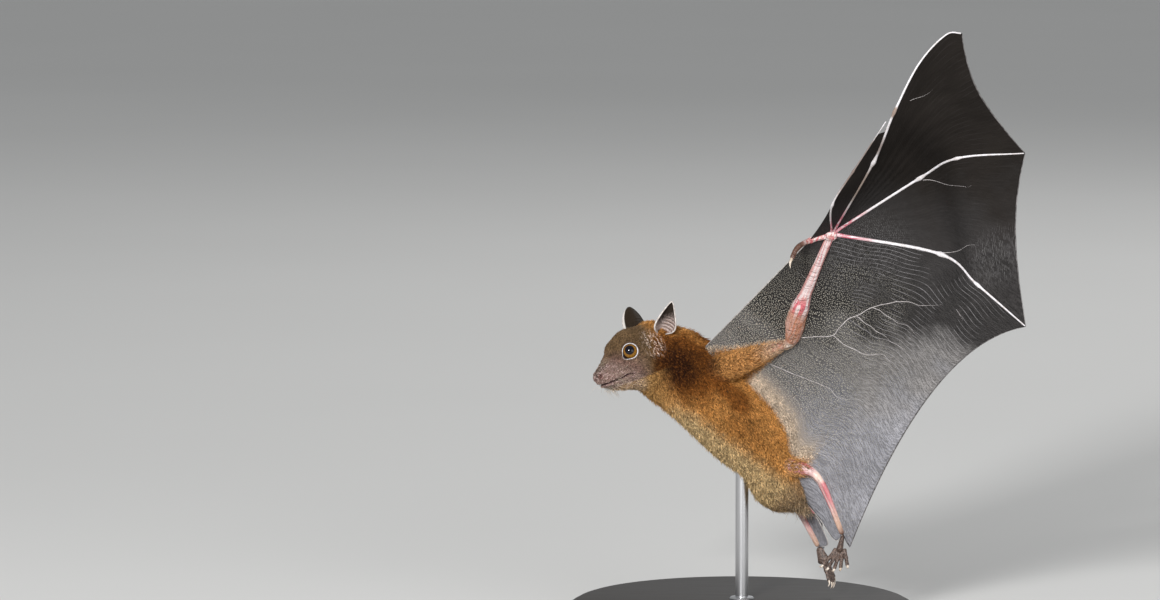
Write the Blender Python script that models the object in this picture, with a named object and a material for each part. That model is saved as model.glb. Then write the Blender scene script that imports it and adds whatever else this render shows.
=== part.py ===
"""A short-nosed fruit bat in climbing flight, at life size, on a plain display stand.

The animal is worked out in a frame of its own, in millimetres: forward, left and up, from a point in
the middle of the trunk.  pose() turns that frame into the world and metres.  Every limb is a tube
swept along its joints, the trunk, neck and head are one chain of rings parted by thin cuts, and
every membrane is a patch between the bones that hold it.  Neighbours are trimmed by a copy of each
other that is grown by GAP, so that nothing touches.
"""
import math

import bmesh
import bpy
from mathutils import Matrix, Vector

# ---- driving sizes, in millimetres and degrees
MM = 0.001
GAP = 0.3
CLIMB = 46.2            # the trunk's rise above the horizon
HEADING = -2.1          # turn about the vertical
BANK = -6.0             # the left side is tipped up by this much
MEMBRANE = 0.6          # thickness of the wing skin
EAR_THICKNESS = 0.8
EYE_RADIUS = 3.5
BASE_RADIUS = 68.0
BASE_HEIGHT = 10.0
BASE_BEVEL = 1.2
ROD_RADIUS = 2.5
ROD_SEAT = 6.0          # depth of the rod's hole in the base
ROD_REACH = 9.0         # depth of the rod's hole in the belly
BELLY_ENTRY = (-14.1, 0.0, -9.8)
BELLY_HEIGHT = 59.0     # of that point above the ground
RING_POINTS = 18
SQUARE = 2.3            # 2 makes the rings ellipses, and more makes them fuller
TRUNK_END = 8           # places along the chain of rings where the neck and the head begin
NECK_END = 11
SHARP = 40.0            # edges that turn by more than this stay crisp
CURVE_STEP = 0.01       # share of a curve over which its direction is read

# ---- joints of the left wing (forward, left, up); the right wing mirrors them
WING = {
    "neck_edge": (31.0, 8.0, 14.0),
    "shoulder": (22.5, 7.5, 8.5),
    "elbow": (9.9, 37.3, 39.0),
    "wrist": (28.4, 81.3, 78.4),
    "thumb_knuckle": (32.3, 78.6, 70.6),
    "thumb_bend": (33.4, 80.4, 65.6),
    "thumb_end": (31.8, 82.2, 61.0),
    "thumb_claw": (29.6, 83.4, 59.4),
    "knuckle_2": (35.7, 104.0, 85.7),
    "tip_2": (39.3, 109.2, 99.9),
    "edge_2": (44.0, 124.3, 120.9),
    "knuckle_3": (36.6, 108.8, 107.5),
    "middle_3": (44.3, 128.1, 125.2),
    "bend_3": (50.8, 129.3, 143.9),
    "crook_3": (51.6, 129.8, 158.2),
    "tip_3": (47.9, 129.9, 162.9),
    "knuckle_4": (20.7, 92.7, 116.0),
    "middle_4": (16.3, 108.0, 130.8),
    "tip_4": (0.4, 108.8, 150.0),
    "knuckle_5": (-5.0, 89.3, 102.2),
    "middle_5": (-22.9, 99.7, 104.1),
    "tip_5": (-46.0, 100.4, 106.2),
}
FLANK = ((13.0, 8.0, 12.0), (-2.0, 8.0, 12.0), (-14.0, 7.5, 9.5))

# ---- joints of the legs, which are held apart from each other
LEGS = {
    "left": {
        "hip": (-23.0, 6.0, 5.0),
        "knee": (-34.9, 13.8, 10.8),
        "ankle": (-57.4, 13.5, 2.4),
        "heel": (-62.6, 15.0, 1.0),
        "ball": (-60.8, 14.6, -2.6),
        "first_toe": (-60.4, 17.6, -11.4),
        "last_toe": (-67.2, 17.4, -4.6),
        "claw_turn": (1.5, 1.2, 0.5),
        "edge_pull": ((17.6, 22.0, 37.4), (16.4, -24.0, -24.4)),
        "inner_edge": ((-46.9, 7.8, 0.1), (-56.6, 12.0, -1.3)),
    },
    "right": {
        "hip": (-23.0, 6.0, 2.0),
        "knee": (-32.6, 13.6, -1.4),
        "ankle": (-55.0, 13.8, -8.2),
        "heel": (-57.0, 14.4, -7.0),
        "ball": (-60.4, 13.4, -10.6),
        "first_toe": (-68.0, 15.4, -12.2),
        "last_toe": (-67.4, 9.0, -14.4),
        "claw_turn": (0.2, -0.6, -1.7),
        "edge_pull": ((33.0, 10.0, 20.0), (16.4, -24.0, -24.4)),
        "inner_edge": ((-47.2, 5.0, -1.0), (-56.4, 10.4, -4.6)),
    },
}
TAIL = ((-34.0, 0.0, 0.5), (-40.0, 0.0, 0.6), (-44.5, 0.0, -0.2))

# ---- the head's own frame, as seen from the trunk: nose tip and its three directions
NOSE = Vector((52.4, 16.0, -23.8))
HEAD_FORWARD = Vector((0.282, 0.472, -0.835))
HEAD_LEFT = Vector((-0.291, 0.872, 0.394))
HEAD_UP = Vector((0.915, 0.132, 0.383))
EYE_PLACE = (-14.8, 6.3, 3.4)
EAR_BASE = (-28.4, 8.0, 4.2)
EAR_TIP = (-33.2, 17.8, 15.8)
EAR_OPENING = (0.30, 0.95, 0.0)
EAR_WIDTH = 7.8
EAR_ROWS = 7
EAR_COLUMNS = 6

# ---- rings of the trunk and neck: lower edge and upper edge (forward, up), half width, shift left,
# ---- and how far the ring has turned from the trunk's side to the head's side
TRUNK_RINGS = (
    ((-38.6, -3.0), (-38.2, 0.4), 2.2, 0.0, 0.0),
    ((-36.6, -7.0), (-36.0, 4.6), 6.0, 0.0, 0.0),
    ((-32.0, -11.4), (-31.0, 8.2), 9.0, 0.0, 0.0),
    ((-24.6, -12.9), (-24.0, 11.2), 11.2, 0.0, 0.0),
    ((-15.0, -11.2), (-14.0, 14.6), 13.0, 0.0, 0.0),
    ((-3.5, -13.0), (-2.5, 17.2), 14.2, 0.0, 0.0),
    ((8.5, -13.8), (8.5, 18.6), 15.0, 0.0, 0.0),
    ((18.0, -14.3), (18.0, 18.4), 15.0, 0.0, 0.0),
    ((26.0, -15.2), (28.0, 18.2), 13.8, 0.2, 0.0),
    ((30.0, -15.9), (34.8, 16.4), 12.9, 1.0, 0.1),
    ((32.4, -16.2), (41.4, 14.0), 12.0, 2.6, 0.35),
)
# ---- rings of the head: lower edge and upper edge (behind the nose, above it), half width
HEAD_RINGS = (
    ((-16.6, -14.4), (-30.8, 10.4), 11.0),
    ((-15.3, -13.3), (-25.6, 10.6), 10.8),
    ((-13.8, -12.3), (-21.2, 11.3), 10.5),
    ((-12.2, -11.5), (-17.6, 11.5), 9.8),
    ((-10.6, -10.8), (-14.4, 10.3), 8.7),
    ((-8.8, -10.2), (-11.4, 8.2), 7.2),
    ((-7.0, -9.4), (-8.4, 6.1), 5.9),
    ((-5.2, -8.4), (-5.6, 4.0), 4.9),
    ((-3.5, -7.2), (-3.1, 2.3), 4.3),
    ((-1.7, -5.7), (-1.2, 1.0), 3.5),
    ((-0.4, -3.7), (-0.1, -0.3), 2.0),
)

# ---- radii along each limb, as (share of its length, radius)
UPPER_ARM_RADII = ((0, 6.2), (0.35, 6.6), (0.6, 4.8), (0.85, 3.2), (1, 2.3))
FOREARM_RADII = ((0, 2.2), (0.08, 3.5), (0.2, 4.3), (0.36, 3.8), (0.5, 2.4), (0.75, 1.8), (1, 1.7))
WRIST_RADII = ((0, 2.1), (0.5, 2.7), (1, 1.9))
WRIST_REACH = (3.0, 2.4)            # behind and before the joint, along the forearm
FOREARM_SHORT = 3.4                 # the forearm ends this far before the joint
THUMB_RADII = ((0, 1.3), (0.38, 1.0), (0.45, 1.3), (0.6, 1.0), (0.84, 1.0), (0.88, 0.6), (1, 0.25))
THUMB_START = 2.0
THIGH_RADII = ((0, 4.0), (0.6, 3.0), (0.85, 2.0), (1, 1.9))
SHANK_RADII = ((0, 1.7), (0.2, 1.8), (0.6, 1.2), (1, 1.1))
SOLE_RADII = ((0, 1.25), (0.45, 1.9), (1, 2.7))
SOLE_FLATNESS = 0.55
SOLE_REACH = 1.2                    # past the ball of the foot
TOE_RADII = ((0, 1.0), (0.55, 0.75), (0.78, 0.8), (0.84, 0.5), (1, 0.25))
TOES = 5
TOE_ROOTS = 2.9                     # width of the row in which the toes begin
TOE_BOW = 1.6                       # the middle toe reaches this much further
TAIL_RADII = ((0, 1.5), (0.7, 1.1), (1, 0.5))
FINGERS = {
    2: ("knuckle_2", "tip_2", "edge_2"),
    3: ("knuckle_3", "middle_3", "bend_3", "crook_3", "tip_3"),
    4: ("knuckle_4", "middle_4", "tip_4"),
    5: ("knuckle_5", "middle_5", "tip_5"),
}
FINGER_START = {2: 3.6, 3: 4.6, 4: 4.2, 5: 3.6}     # clear of the wrist
FINGER_THICK = {2: 0.6, 3: 0.9, 4: 0.9, 5: 0.9}
NEXT_FINGER = {2: 3, 4: 3, 5: 4}    # the finger that each one is trimmed by
FINGER_2_END = 0.93                 # its tip runs out in the skin's front edge

# ---- the skins: how far they bulge, and how deep their free edges are scalloped
ARM_BILLOW = 3.0
HAND_BILLOW = 1.5
SCALLOP_3_4 = 0.055
SCALLOP_4_5 = 0.05
THUMB_SCALLOP = 0.10
FINGER_2_MEETING = 0.93             # share of the third finger's first bones that holds its skin

FUR_ORANGE = (0.48, 0.24, 0.08)
FUR_BROWN = (0.16, 0.09, 0.05)
FUR_GREY = (0.33, 0.27, 0.22)
SKIN_PINK = (0.62, 0.42, 0.38)
BONE_CREAM = (0.72, 0.66, 0.58)
WING_GREY = (0.12, 0.10, 0.10)
FOOT_BROWN = (0.14, 0.09, 0.07)
EYE_BROWN = (0.16, 0.08, 0.02)
STAND_DARK = (0.05, 0.05, 0.05)
STEEL = (0.60, 0.60, 0.62)


# ---- frames
def pose_matrix():
    """The turn from (forward, left, up) to the world's axes."""
    own = Matrix(((-1, 0, 0), (0, -1, 0), (0, 0, 1)))
    turn = Matrix.Rotation(math.radians(BANK), 3, "X")
    turn = turn @ Matrix.Rotation(math.radians(HEADING), 3, "Z")
    turn = turn @ Matrix.Rotation(math.radians(CLIMB), 3, "Y")
    return turn @ own


TURN = pose_matrix()
ORIGIN = Vector((0.0, 0.0, BELLY_HEIGHT)) - TURN @ Vector(BELLY_ENTRY)


def pose(point):
    """World position in metres of a point given as (forward, left, up) in millimetres."""
    return (ORIGIN + TURN @ Vector(point)) * MM


def on_head(behind, left, above):
    """A point of the head's own frame, as (forward, left, up)."""
    return NOSE + HEAD_FORWARD * behind + HEAD_LEFT * left + HEAD_UP * above


def mirrored(point, side):
    """The same point on the other side of the trunk, if side is -1."""
    return Vector((point[0], point[1] * side, point[2]))


# ---- curves and tables
def blend(rows, place):
    """Catmull-Rom value at a place (0 to last index) of a list of vectors or numbers."""
    last = len(rows) - 1
    index = min(int(place), last - 1)
    t = place - index
    here, there = rows[index], rows[index + 1]
    before = rows[index - 1] if index > 0 else here * 2 - there
    after = rows[index + 2] if index + 2 <= last else there * 2 - here
    return (here * 2 + (there - before) * t
            + (before * 2 - here * 5 + there * 4 - after) * t ** 2
            + (here * 3 - before - there * 3 + after) * t ** 3) * 0.5


def curve(points):
    """A smooth curve through the points, as a function of 0 to 1 along its chords."""
    rows = [Vector(point) for point in points]
    lengths = [0.0]
    for here, there in zip(rows, rows[1:]):
        lengths.append(lengths[-1] + (there - here).length)

    def at(share):
        goal = min(max(share, 0.0), 1.0) * lengths[-1]
        index = max(i for i in range(len(rows) - 1) if lengths[i] <= goal + 1e-9)
        return blend(rows, index + (goal - lengths[index]) / (lengths[index + 1] - lengths[index]))
    return at


# ---- meshes
def shade(mesh):
    mesh.shade_smooth()
    mesh.set_sharp_from_angle(angle=math.radians(SHARP))
    return mesh


def finish_mesh(name, bm):
    """Turn a bmesh given in (forward, left, up) millimetres into a smooth shaded world mesh."""
    bmesh.ops.recalc_face_normals(bm, faces=bm.faces)
    mesh = bpy.data.meshes.new(name)
    for vert in bm.verts:
        vert.co = pose(vert.co)
    bm.to_mesh(mesh)
    bm.free()
    return shade(mesh)


def stack_of_rings(name, rings):
    """A closed body through rings that have the same number of points."""
    bm = bmesh.new()
    rows = [[bm.verts.new(point) for point in ring] for ring in rings]
    count = len(rings[0])
    for low, high in zip(rows, rows[1:]):
        for i in range(count):
            j = (i + 1) % count
            bm.faces.new((low[i], low[j], high[j], high[i]))
    bm.faces.new(rows[0])
    bm.faces.new(rows[-1])
    return finish_mesh(name, bm)


def chord_length(points):
    rows = [Vector(point) for point in points]
    return sum((there - here).length for here, there in zip(rows, rows[1:]))


def share_at(points, index):
    """The share of a curve's length at which it passes one of its points."""
    return chord_length(points[:index + 1]) / chord_length(points)


def radius_at(radii, share):
    """Straight-line value of (share, radius) pairs."""
    for (a, low), (b, high) in zip(radii, radii[1:]):
        if share <= b:
            return low + (high - low) * max(share - a, 0.0) / (b - a)
    return radii[-1][1]


def ring_places(radii, spacing):
    """The shares at which radii are given, with others between those that are far apart."""
    places = [radii[0][0]]
    for (before, _), (here, _) in zip(radii, radii[1:]):
        parts = max(math.ceil((here - before) / spacing - 1e-6), 1)
        places += [before + (here - before) * (i + 1) / parts for i in range(parts)]
    return places


def tube_rings(at, radii, sides, spacing, grow=0.0, span=(0.0, 1.0), flat=1.0, flat_axis=(0, 0, 1)):
    """Rings along a stretch of a curve; radii are (share of the stretch, radius) pairs."""
    places = ring_places(radii, spacing)
    rings = []
    cross = None
    for share in places:
        place = span[0] + (span[1] - span[0]) * share
        ahead = (at(place + CURVE_STEP) - at(place - CURVE_STEP)).normalized()
        if cross is None:
            cross = ahead.cross(Vector(flat_axis))
        cross = (cross - ahead * cross.dot(ahead)).normalized()
        up = ahead.cross(cross)
        centre = at(place) + ahead * (grow * (share == places[-1]) - grow * (share == places[0]))
        radius = radius_at(radii, share)
        ring = []
        for k in range(sides):
            angle = 2 * math.pi * k / sides
            ring.append(centre + cross * ((radius + grow) * math.cos(angle))
                        + up * ((radius * flat + grow) * math.sin(angle)))
        rings.append(ring)
    return rings


def tube(at, radii, sides, spacing=0.2, span=(0.0, 1.0)):
    """A builder of a tube that can also be grown on every side."""
    def build(name, grow):
        return stack_of_rings(name, tube_rings(at, radii, sides, spacing, grow, span))
    return build


def chain_table():
    """All rings from rump to nose as lists of lower edge, upper edge, half width and side."""
    lower, upper, widths, sides = [], [], [], []
    left = Vector((0, 1, 0))
    for low, high, width, shift, turned in TRUNK_RINGS:
        lower.append(Vector((low[0], shift, low[1])))
        upper.append(Vector((high[0], shift, high[1])))
        widths.append(width)
        sides.append(left.lerp(HEAD_LEFT, turned).normalized())
    for low, high, width in HEAD_RINGS:
        lower.append(on_head(low[0], 0, low[1]))
        upper.append(on_head(high[0], 0, high[1]))
        widths.append(width)
        sides.append(HEAD_LEFT)
    return lower, upper, widths, sides


LOWER, UPPER, WIDTHS, SIDES = chain_table()
CHAIN_END = len(WIDTHS) - 1


def chain_ring(place, grow=0.0):
    """One ring of the trunk, neck and head."""
    middle, half = (LOWER[place] + UPPER[place]) / 2, (UPPER[place] - LOWER[place]) / 2
    half = half.normalized() * (half.length + grow)
    width = WIDTHS[place] + grow
    ring = []
    for k in range(RING_POINTS):
        angle = 2 * math.pi * k / RING_POINTS
        across, tall = math.cos(angle), math.sin(angle)
        full = (abs(across) ** SQUARE + abs(tall) ** SQUARE) ** (1 / SQUARE)
        ring.append(middle + SIDES[place] * (width * across / full) + half * (tall / full))
    return ring


def chain_normal(place):
    """The direction in which the chain runs on through a ring."""
    return SIDES[place].cross(UPPER[place] - LOWER[place]).normalized()


def chain(start, end, start_gap=True):
    """A builder of one length of the chain; a copy that is grown also ends further out."""
    def build(name, grow):
        rings = [chain_ring(place, grow) for place in range(start, end + 1)]
        ahead = chain_normal(start)
        shift = ahead * (GAP if start_gap else -grow)
        rings[0] = [point + shift for point in rings[0]]
        if grow:
            ahead = chain_normal(end) * grow
            rings[-1] = [point + ahead for point in rings[-1]]
        return stack_of_rings(name, rings)
    return build


def ball(centre, radius, segments=10, rings=7):
    """A builder of a round body."""
    def build(name, grow):
        bm = bmesh.new()
        place = Matrix.Translation(Vector(centre))
        bmesh.ops.create_uvsphere(bm, u_segments=segments, v_segments=rings,
                                  radius=radius + grow, matrix=place)
        return finish_mesh(name, bm)
    return build


def sheet(grid, thickness=MEMBRANE):
    """A builder of a thin closed skin around rows of points."""
    def build(name, grow):
        bm = bmesh.new()
        rows = [[bm.verts.new(point) for point in row] for row in grid]
        for low, high in zip(rows, rows[1:]):
            for i in range(len(low) - 1):
                bm.faces.new((low[i], low[i + 1], high[i + 1], high[i]))
        bm.normal_update()
        near_side = list(bm.verts)
        whole = near_side + list(bm.edges) + list(bm.faces)
        far_of = bmesh.ops.duplicate(bm, geom=whole)["vert_map"]
        for near in near_side:
            offset = near.normal * (thickness / 2 + grow)
            near.co += offset
            far_of[near].co -= offset
        rim = [edge for edge in bm.edges if edge.is_boundary]
        bmesh.ops.bridge_loops(bm, edges=rim)
        return finish_mesh(name, bm)
    return build


def patch(bottom, top, left, right, columns, rows, billow):
    """Grid of a four sided patch between curves, bulging by billow at its middle.

    bottom and top run along the columns, left and right along the rows.
    """
    corner = (bottom(0), bottom(1), top(0), top(1))
    normal = (corner[3] - corner[0]).cross(corner[1] - corner[2]).normalized()
    grid = []
    for j in range(rows + 1):
        v = j / rows
        row = []
        for i in range(columns + 1):
            u = i / columns
            along = bottom(u).lerp(top(u), v) + left(v).lerp(right(v), u)
            flat = corner[0].lerp(corner[1], u).lerp(corner[2].lerp(corner[3], u), v)
            bulge = billow * math.sin(math.pi * u) * math.sin(math.pi * v)
            row.append(along - flat + normal * bulge)
        grid.append(row)
    return grid


def web(first, second, columns, rows, start, end, scallop, billow):
    """Grid of the skin between two fingers, from their root to a scalloped free edge."""
    normal = (first(1) - first(0)).cross(second(1) - first(0)).normalized()
    grid = []
    for j in range(rows + 1):
        v = start + (end - start) * j / rows
        row = []
        for i in range(columns + 1):
            u = i / columns
            arch = 4 * u * (1 - u)
            place = v * (1 - scallop * arch * v)
            bulge = billow * arch * math.sin(math.pi * v * 0.8)
            row.append(first(place).lerp(second(place), u) + normal * bulge)
        grid.append(row)
    return grid


# ---- objects
BUILDERS = {}


def paint(name, colour, roughness=0.6, metallic=0.0):
    material = bpy.data.materials.new(name + "_finish")
    material.use_nodes = True
    shader = material.node_tree.nodes["Principled BSDF"]
    shader.inputs["Base Color"].default_value = (*colour, 1.0)
    shader.inputs["Roughness"].default_value = roughness
    shader.inputs["Metallic"].default_value = metallic
    return material


def add_object(name, mesh):
    thing = bpy.data.objects.new(name, mesh)
    bpy.context.scene.collection.objects.link(thing)
    return thing


def clearance_of(name):
    """The hidden cutter that keeps GAP around a solid."""
    cutter = bpy.data.objects.get("clear_" + name)
    if cutter is None:
        cutter = add_object("clear_" + name, BUILDERS[name]("clear_" + name, GAP))
        cutter.hide_render = True
        cutter.display_type = "WIRE"
    return cutter


def trim(thing, neighbours):
    """Make room for the neighbours in one cut."""
    if not neighbours:
        return
    room = bpy.data.collections.new("room_in_" + thing.name)
    for neighbour in neighbours:
        room.objects.link(clearance_of(neighbour))
    cut = thing.modifiers.new("room", "BOOLEAN")
    cut.operation = "DIFFERENCE"
    cut.solver = "EXACT"
    cut.operand_type = "COLLECTION"
    cut.collection = room


def add_solid(name, builder, colour, neighbours=(), roughness=0.6):
    """One node: its mesh, its material, and the neighbours that it makes room for."""
    BUILDERS[name] = builder
    thing = add_object(name, builder(name, 0.0))
    thing.data.materials.append(paint(name, colour, roughness))
    trim(thing, neighbours)
    return thing


# ---- the body
def add_body():
    BUILDERS["whole_body"] = chain(0, CHAIN_END, start_gap=False)
    for side, sign in (("left", 1), ("right", -1)):
        place = on_head(EYE_PLACE[0], EYE_PLACE[1] * sign, EYE_PLACE[2])
        add_solid("eye_" + side, ball(place, EYE_RADIUS), EYE_BROWN, roughness=0.1)
    BUILDERS["rod_socket"] = rod_builder()
    add_solid("trunk", chain(0, TRUNK_END, start_gap=False), FUR_ORANGE, ("rod_socket",))
    add_solid("neck", chain(TRUNK_END, NECK_END), FUR_BROWN)
    add_solid("head", chain(NECK_END, CHAIN_END), FUR_GREY, ("eye_left", "eye_right"))
    add_solid("tail", tube(curve(TAIL), TAIL_RADII, 6, 0.5), SKIN_PINK, ("whole_body",))


def ear_grid(sign):
    """Rows of an ear: a leaf that is rolled into a tube at its foot and opens towards its tip."""
    base = on_head(EAR_BASE[0], EAR_BASE[1] * sign, EAR_BASE[2])
    tip = on_head(EAR_TIP[0], EAR_TIP[1] * sign, EAR_TIP[2])
    rise = tip - base
    opening = HEAD_FORWARD * EAR_OPENING[0] + HEAD_LEFT * (EAR_OPENING[1] * sign)
    opening = (opening - rise * (opening.dot(rise) / rise.length_squared)).normalized()
    across = rise.normalized().cross(opening)
    grid = []
    for j in range(EAR_ROWS + 1):
        v = j / EAR_ROWS
        half_angle = math.radians(120 - 66 * v ** 0.7)
        half_width = EAR_WIDTH / 2 * (0.72 + 0.75 * v) * math.sqrt(max(1 - v ** 2.4, 0.012))
        radius = half_width / math.sin(min(half_angle, math.pi / 2))
        row = []
        for i in range(EAR_COLUMNS + 1):
            angle = half_angle * (2 * i / EAR_COLUMNS - 1)
            row.append(base + rise * v + across * (radius * math.sin(angle))
                       + opening * (radius * (1 - math.cos(angle)) - 0.3 * EAR_WIDTH * (1 - v)))
        grid.append(row)
    return grid


def add_ears():
    for side, sign in (("left", 1), ("right", -1)):
        add_solid("ear_" + side, sheet(ear_grid(sign), EAR_THICKNESS), FUR_GREY, ("whole_body",))


# ---- the legs
def leg_joints(side, sign):
    """The single joints of a leg, on its own side."""
    joints = {key: value for key, value in LEGS[side].items() if not isinstance(value[0], tuple)}
    return {key: mirrored(value, sign) for key, value in joints.items()}


def toe_rings(start, end, turn):
    """One toe and its curved claw as a single tapering tube."""
    reach = (end - start).normalized()
    bend = end + reach * 0.9 + turn * 0.5
    claw = end + reach * 0.8 + turn * 1.35
    return tube_rings(curve((start, start.lerp(end, 0.5), end, bend, claw)), TOE_RADII, 5, 0.6)


def foot(joint):
    """A builder of a foot's flat sole, and the rings of the five clawed toes that fan out of it."""
    first, last, turn = joint["first_toe"], joint["last_toe"], joint["claw_turn"]
    spread = last - first
    outward = ((first + last) / 2 - joint["ball"]).normalized()
    end = joint["ball"] + outward * SOLE_REACH
    start = joint["ankle"] + (end - joint["ankle"]).normalized() * GAP
    middle = start.lerp(end, 0.5)

    def build(name, grow):
        rings = tube_rings(curve((start, middle, end)), SOLE_RADII, 8, 0.5, grow,
                           flat=SOLE_FLATNESS, flat_axis=spread.cross(outward))
        return stack_of_rings(name, rings)

    toes = []
    for i in range(TOES):
        share = i / (TOES - 1)
        tip = first + spread * share + outward * (TOE_BOW * math.sin(math.pi * share))
        root = joint["ball"] + spread.normalized() * (TOE_ROOTS * (share - 0.5)) - outward * 0.8
        toes.append(toe_rings(root, tip, turn))
    return build, toes


def add_leg(side, sign):
    joint = leg_joints(side, sign)
    path = (joint["hip"], joint["knee"], joint["ankle"])
    bone = curve(path)
    knee = share_at(path, 1)
    gap = GAP / chord_length(path)
    add_solid("shank_" + side, tube(bone, SHANK_RADII, 8, 0.4, (knee + gap, 1.0)), SKIN_PINK)
    add_solid("thigh_" + side, tube(bone, THIGH_RADII, 8, 0.6, (0.0, knee)), SKIN_PINK,
              ("whole_body", "shank_" + side))
    sole, toes = foot(joint)
    thing = add_solid("foot_" + side, sole, FOOT_BROWN)
    for number, rings in enumerate(toes, start=1):
        name = "toe_{}_{}".format(number, side)
        toe = add_object(name, stack_of_rings(name, rings))
        toe.hide_render = True
        toe.display_type = "WIRE"
        join = thing.modifiers.new("join_" + name, "BOOLEAN")
        join.operation = "UNION"
        join.solver = "EXACT"
        join.object = toe
    trim(thing, ("shank_" + side,))


# ---- the wings
def wing_points(sign):
    return {key: mirrored(point, sign) for key, point in WING.items()}


def thumb_path(at):
    return [at[key] for key in ("wrist", "thumb_knuckle", "thumb_bend", "thumb_end", "thumb_claw")]


def finger_path(at, number):
    return [at["wrist"]] + [at[key] for key in FINGERS[number]]


def finger_radii(path, start, thick):
    """Radii along a finger, with a knob at its knuckle and at its middle joint."""
    knuckle = (share_at(path, 1) - start) / (1 - start)
    middle = (share_at(path, 2) - start) / (1 - start)
    return ((0, thick * 1.25), (0.1, thick), (knuckle - 0.05, thick * 0.95), (knuckle, thick * 1.4),
            (knuckle + 0.05, thick * 0.9), (middle - 0.04, thick * 0.8), (middle, thick * 1.1),
            (middle + 0.04, thick * 0.8), (0.92, thick * 0.55), (1, 0.32))


def add_arm(side, sign):
    at = wing_points(sign)
    tag = "_" + side
    path = (at["shoulder"], at["elbow"], at["wrist"])
    bone = curve(path)
    elbow = share_at(path, 1)
    length = chord_length(path)
    add_solid("forearm" + tag, tube(bone, FOREARM_RADII, 10, 0.3,
                                    (elbow + GAP / length, 1 - FOREARM_SHORT / length)), SKIN_PINK)
    add_solid("upper_arm" + tag, tube(bone, UPPER_ARM_RADII, 10, 0.4, (0.0, elbow)), FUR_ORANGE,
              ("whole_body", "forearm" + tag))
    hand_line = (at["wrist"] - at["elbow"]).normalized()
    behind, before = (at["wrist"] - hand_line * WRIST_REACH[0], at["wrist"] + hand_line * WRIST_REACH[1])
    add_solid("wrist" + tag, tube(curve((behind, at["wrist"], before)), WRIST_RADII, 8, 0.5), SKIN_PINK)
    thumb = thumb_path(at)
    add_solid("thumb" + tag, tube(curve(thumb), THUMB_RADII, 6, 0.4,
                                  (THUMB_START / chord_length(thumb), 1.0)), SKIN_PINK, ("wrist" + tag,))


def add_fingers(side, sign):
    at = wing_points(sign)
    tag = "_" + side
    for number in (3, 4, 5, 2):
        path = finger_path(at, number)
        start = FINGER_START[number] / chord_length(path)
        neighbours = ["wrist" + tag]
        if number != 3:
            neighbours.append("finger_{}{}".format(NEXT_FINGER[number], tag))
        end = FINGER_2_END if number == 2 else 1.0
        builder = tube(curve(path), finger_radii(path, start, FINGER_THICK[number]), 6, 0.16,
                       (start, end))
        add_solid("finger_{}{}".format(number, tag), builder, BONE_CREAM, neighbours)


def line(start, end):
    return lambda share: start.lerp(end, share)


def bezier(first, second, third, fourth):
    def at(share):
        a, b, c = first.lerp(second, share), second.lerp(third, share), third.lerp(fourth, share)
        return a.lerp(b, share).lerp(b.lerp(c, share), share)
    return at


def add_arm_membranes(side, sign):
    """The skin before the arm, and the large one between arm, fifth finger, flank and leg."""
    at, leg, tag = wing_points(sign), leg_joints(side, sign), "_" + side
    arm = curve((at["shoulder"], at["elbow"], at["wrist"]))
    arm_nodes = ["upper_arm" + tag, "forearm" + tag, "wrist" + tag]
    front = patch(arm, line(at["neck_edge"], at["thumb_knuckle"]), line(at["shoulder"], at["neck_edge"]),
                  line(at["wrist"], at["thumb_knuckle"]), 7, 3, 0.0)
    add_solid("propatagium" + tag, sheet(front), WING_GREY,
              ["whole_body", "thumb" + tag] + arm_nodes)
    flank = [mirrored(point, sign) for point in FLANK]
    flank_line = curve([at["shoulder"]] + flank + [leg[key] for key in ("hip", "knee", "ankle", "heel")])
    pull_leg, pull_tip = (mirrored(value, sign) for value in LEGS[side]["edge_pull"])
    heel, tip = leg["heel"], at["tip_5"]
    main_skin = patch(arm, bezier(heel, heel + pull_leg, tip + pull_tip, tip), flank_line,
                      curve(finger_path(at, 5)), 9, 8, ARM_BILLOW * sign)
    add_solid("plagiopatagium" + tag, sheet(main_skin), WING_GREY,
              ["whole_body", "thigh" + tag, "shank" + tag, "foot" + tag, "finger_5" + tag] + arm_nodes)


def add_hand_membranes(side, sign):
    """The skins between thumb and second finger, and from each finger to the next."""
    at, tag = wing_points(sign), "_" + side
    bones = {number: curve(finger_path(at, number)) for number in FINGERS}
    thumb = curve(thumb_path(at))
    knuckles = (share_at(thumb_path(at), 1), share_at(finger_path(at, 2), 1))
    meeting = share_at(finger_path(at, 3), 2) * FINGER_2_MEETING
    webs = {
        (1, 2): web(lambda share: thumb(share * knuckles[0]), lambda share: bones[2](share * knuckles[1]),
                    3, 3, 0.30, 1.0, THUMB_SCALLOP, 0.0),
        (2, 3): web(bones[2], lambda share: bones[3](share * meeting), 2, 8, 0.08, 0.9, 0.0, 0.0),
        (3, 4): web(bones[3], bones[4], 5, 10, 0.05, 1.0, SCALLOP_3_4, HAND_BILLOW * sign),
        (4, 5): web(bones[4], bones[5], 5, 7, 0.05, 1.0, SCALLOP_4_5, HAND_BILLOW * sign),
    }
    for (first, second), grid in webs.items():
        holders = ["wrist" + tag, "thumb" + tag if first == 1 else "finger_{}{}".format(first, tag),
                   "finger_{}{}".format(second, tag)]
        add_solid("membrane_{}_{}{}".format(first, second, tag), sheet(grid), WING_GREY, holders)


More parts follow.
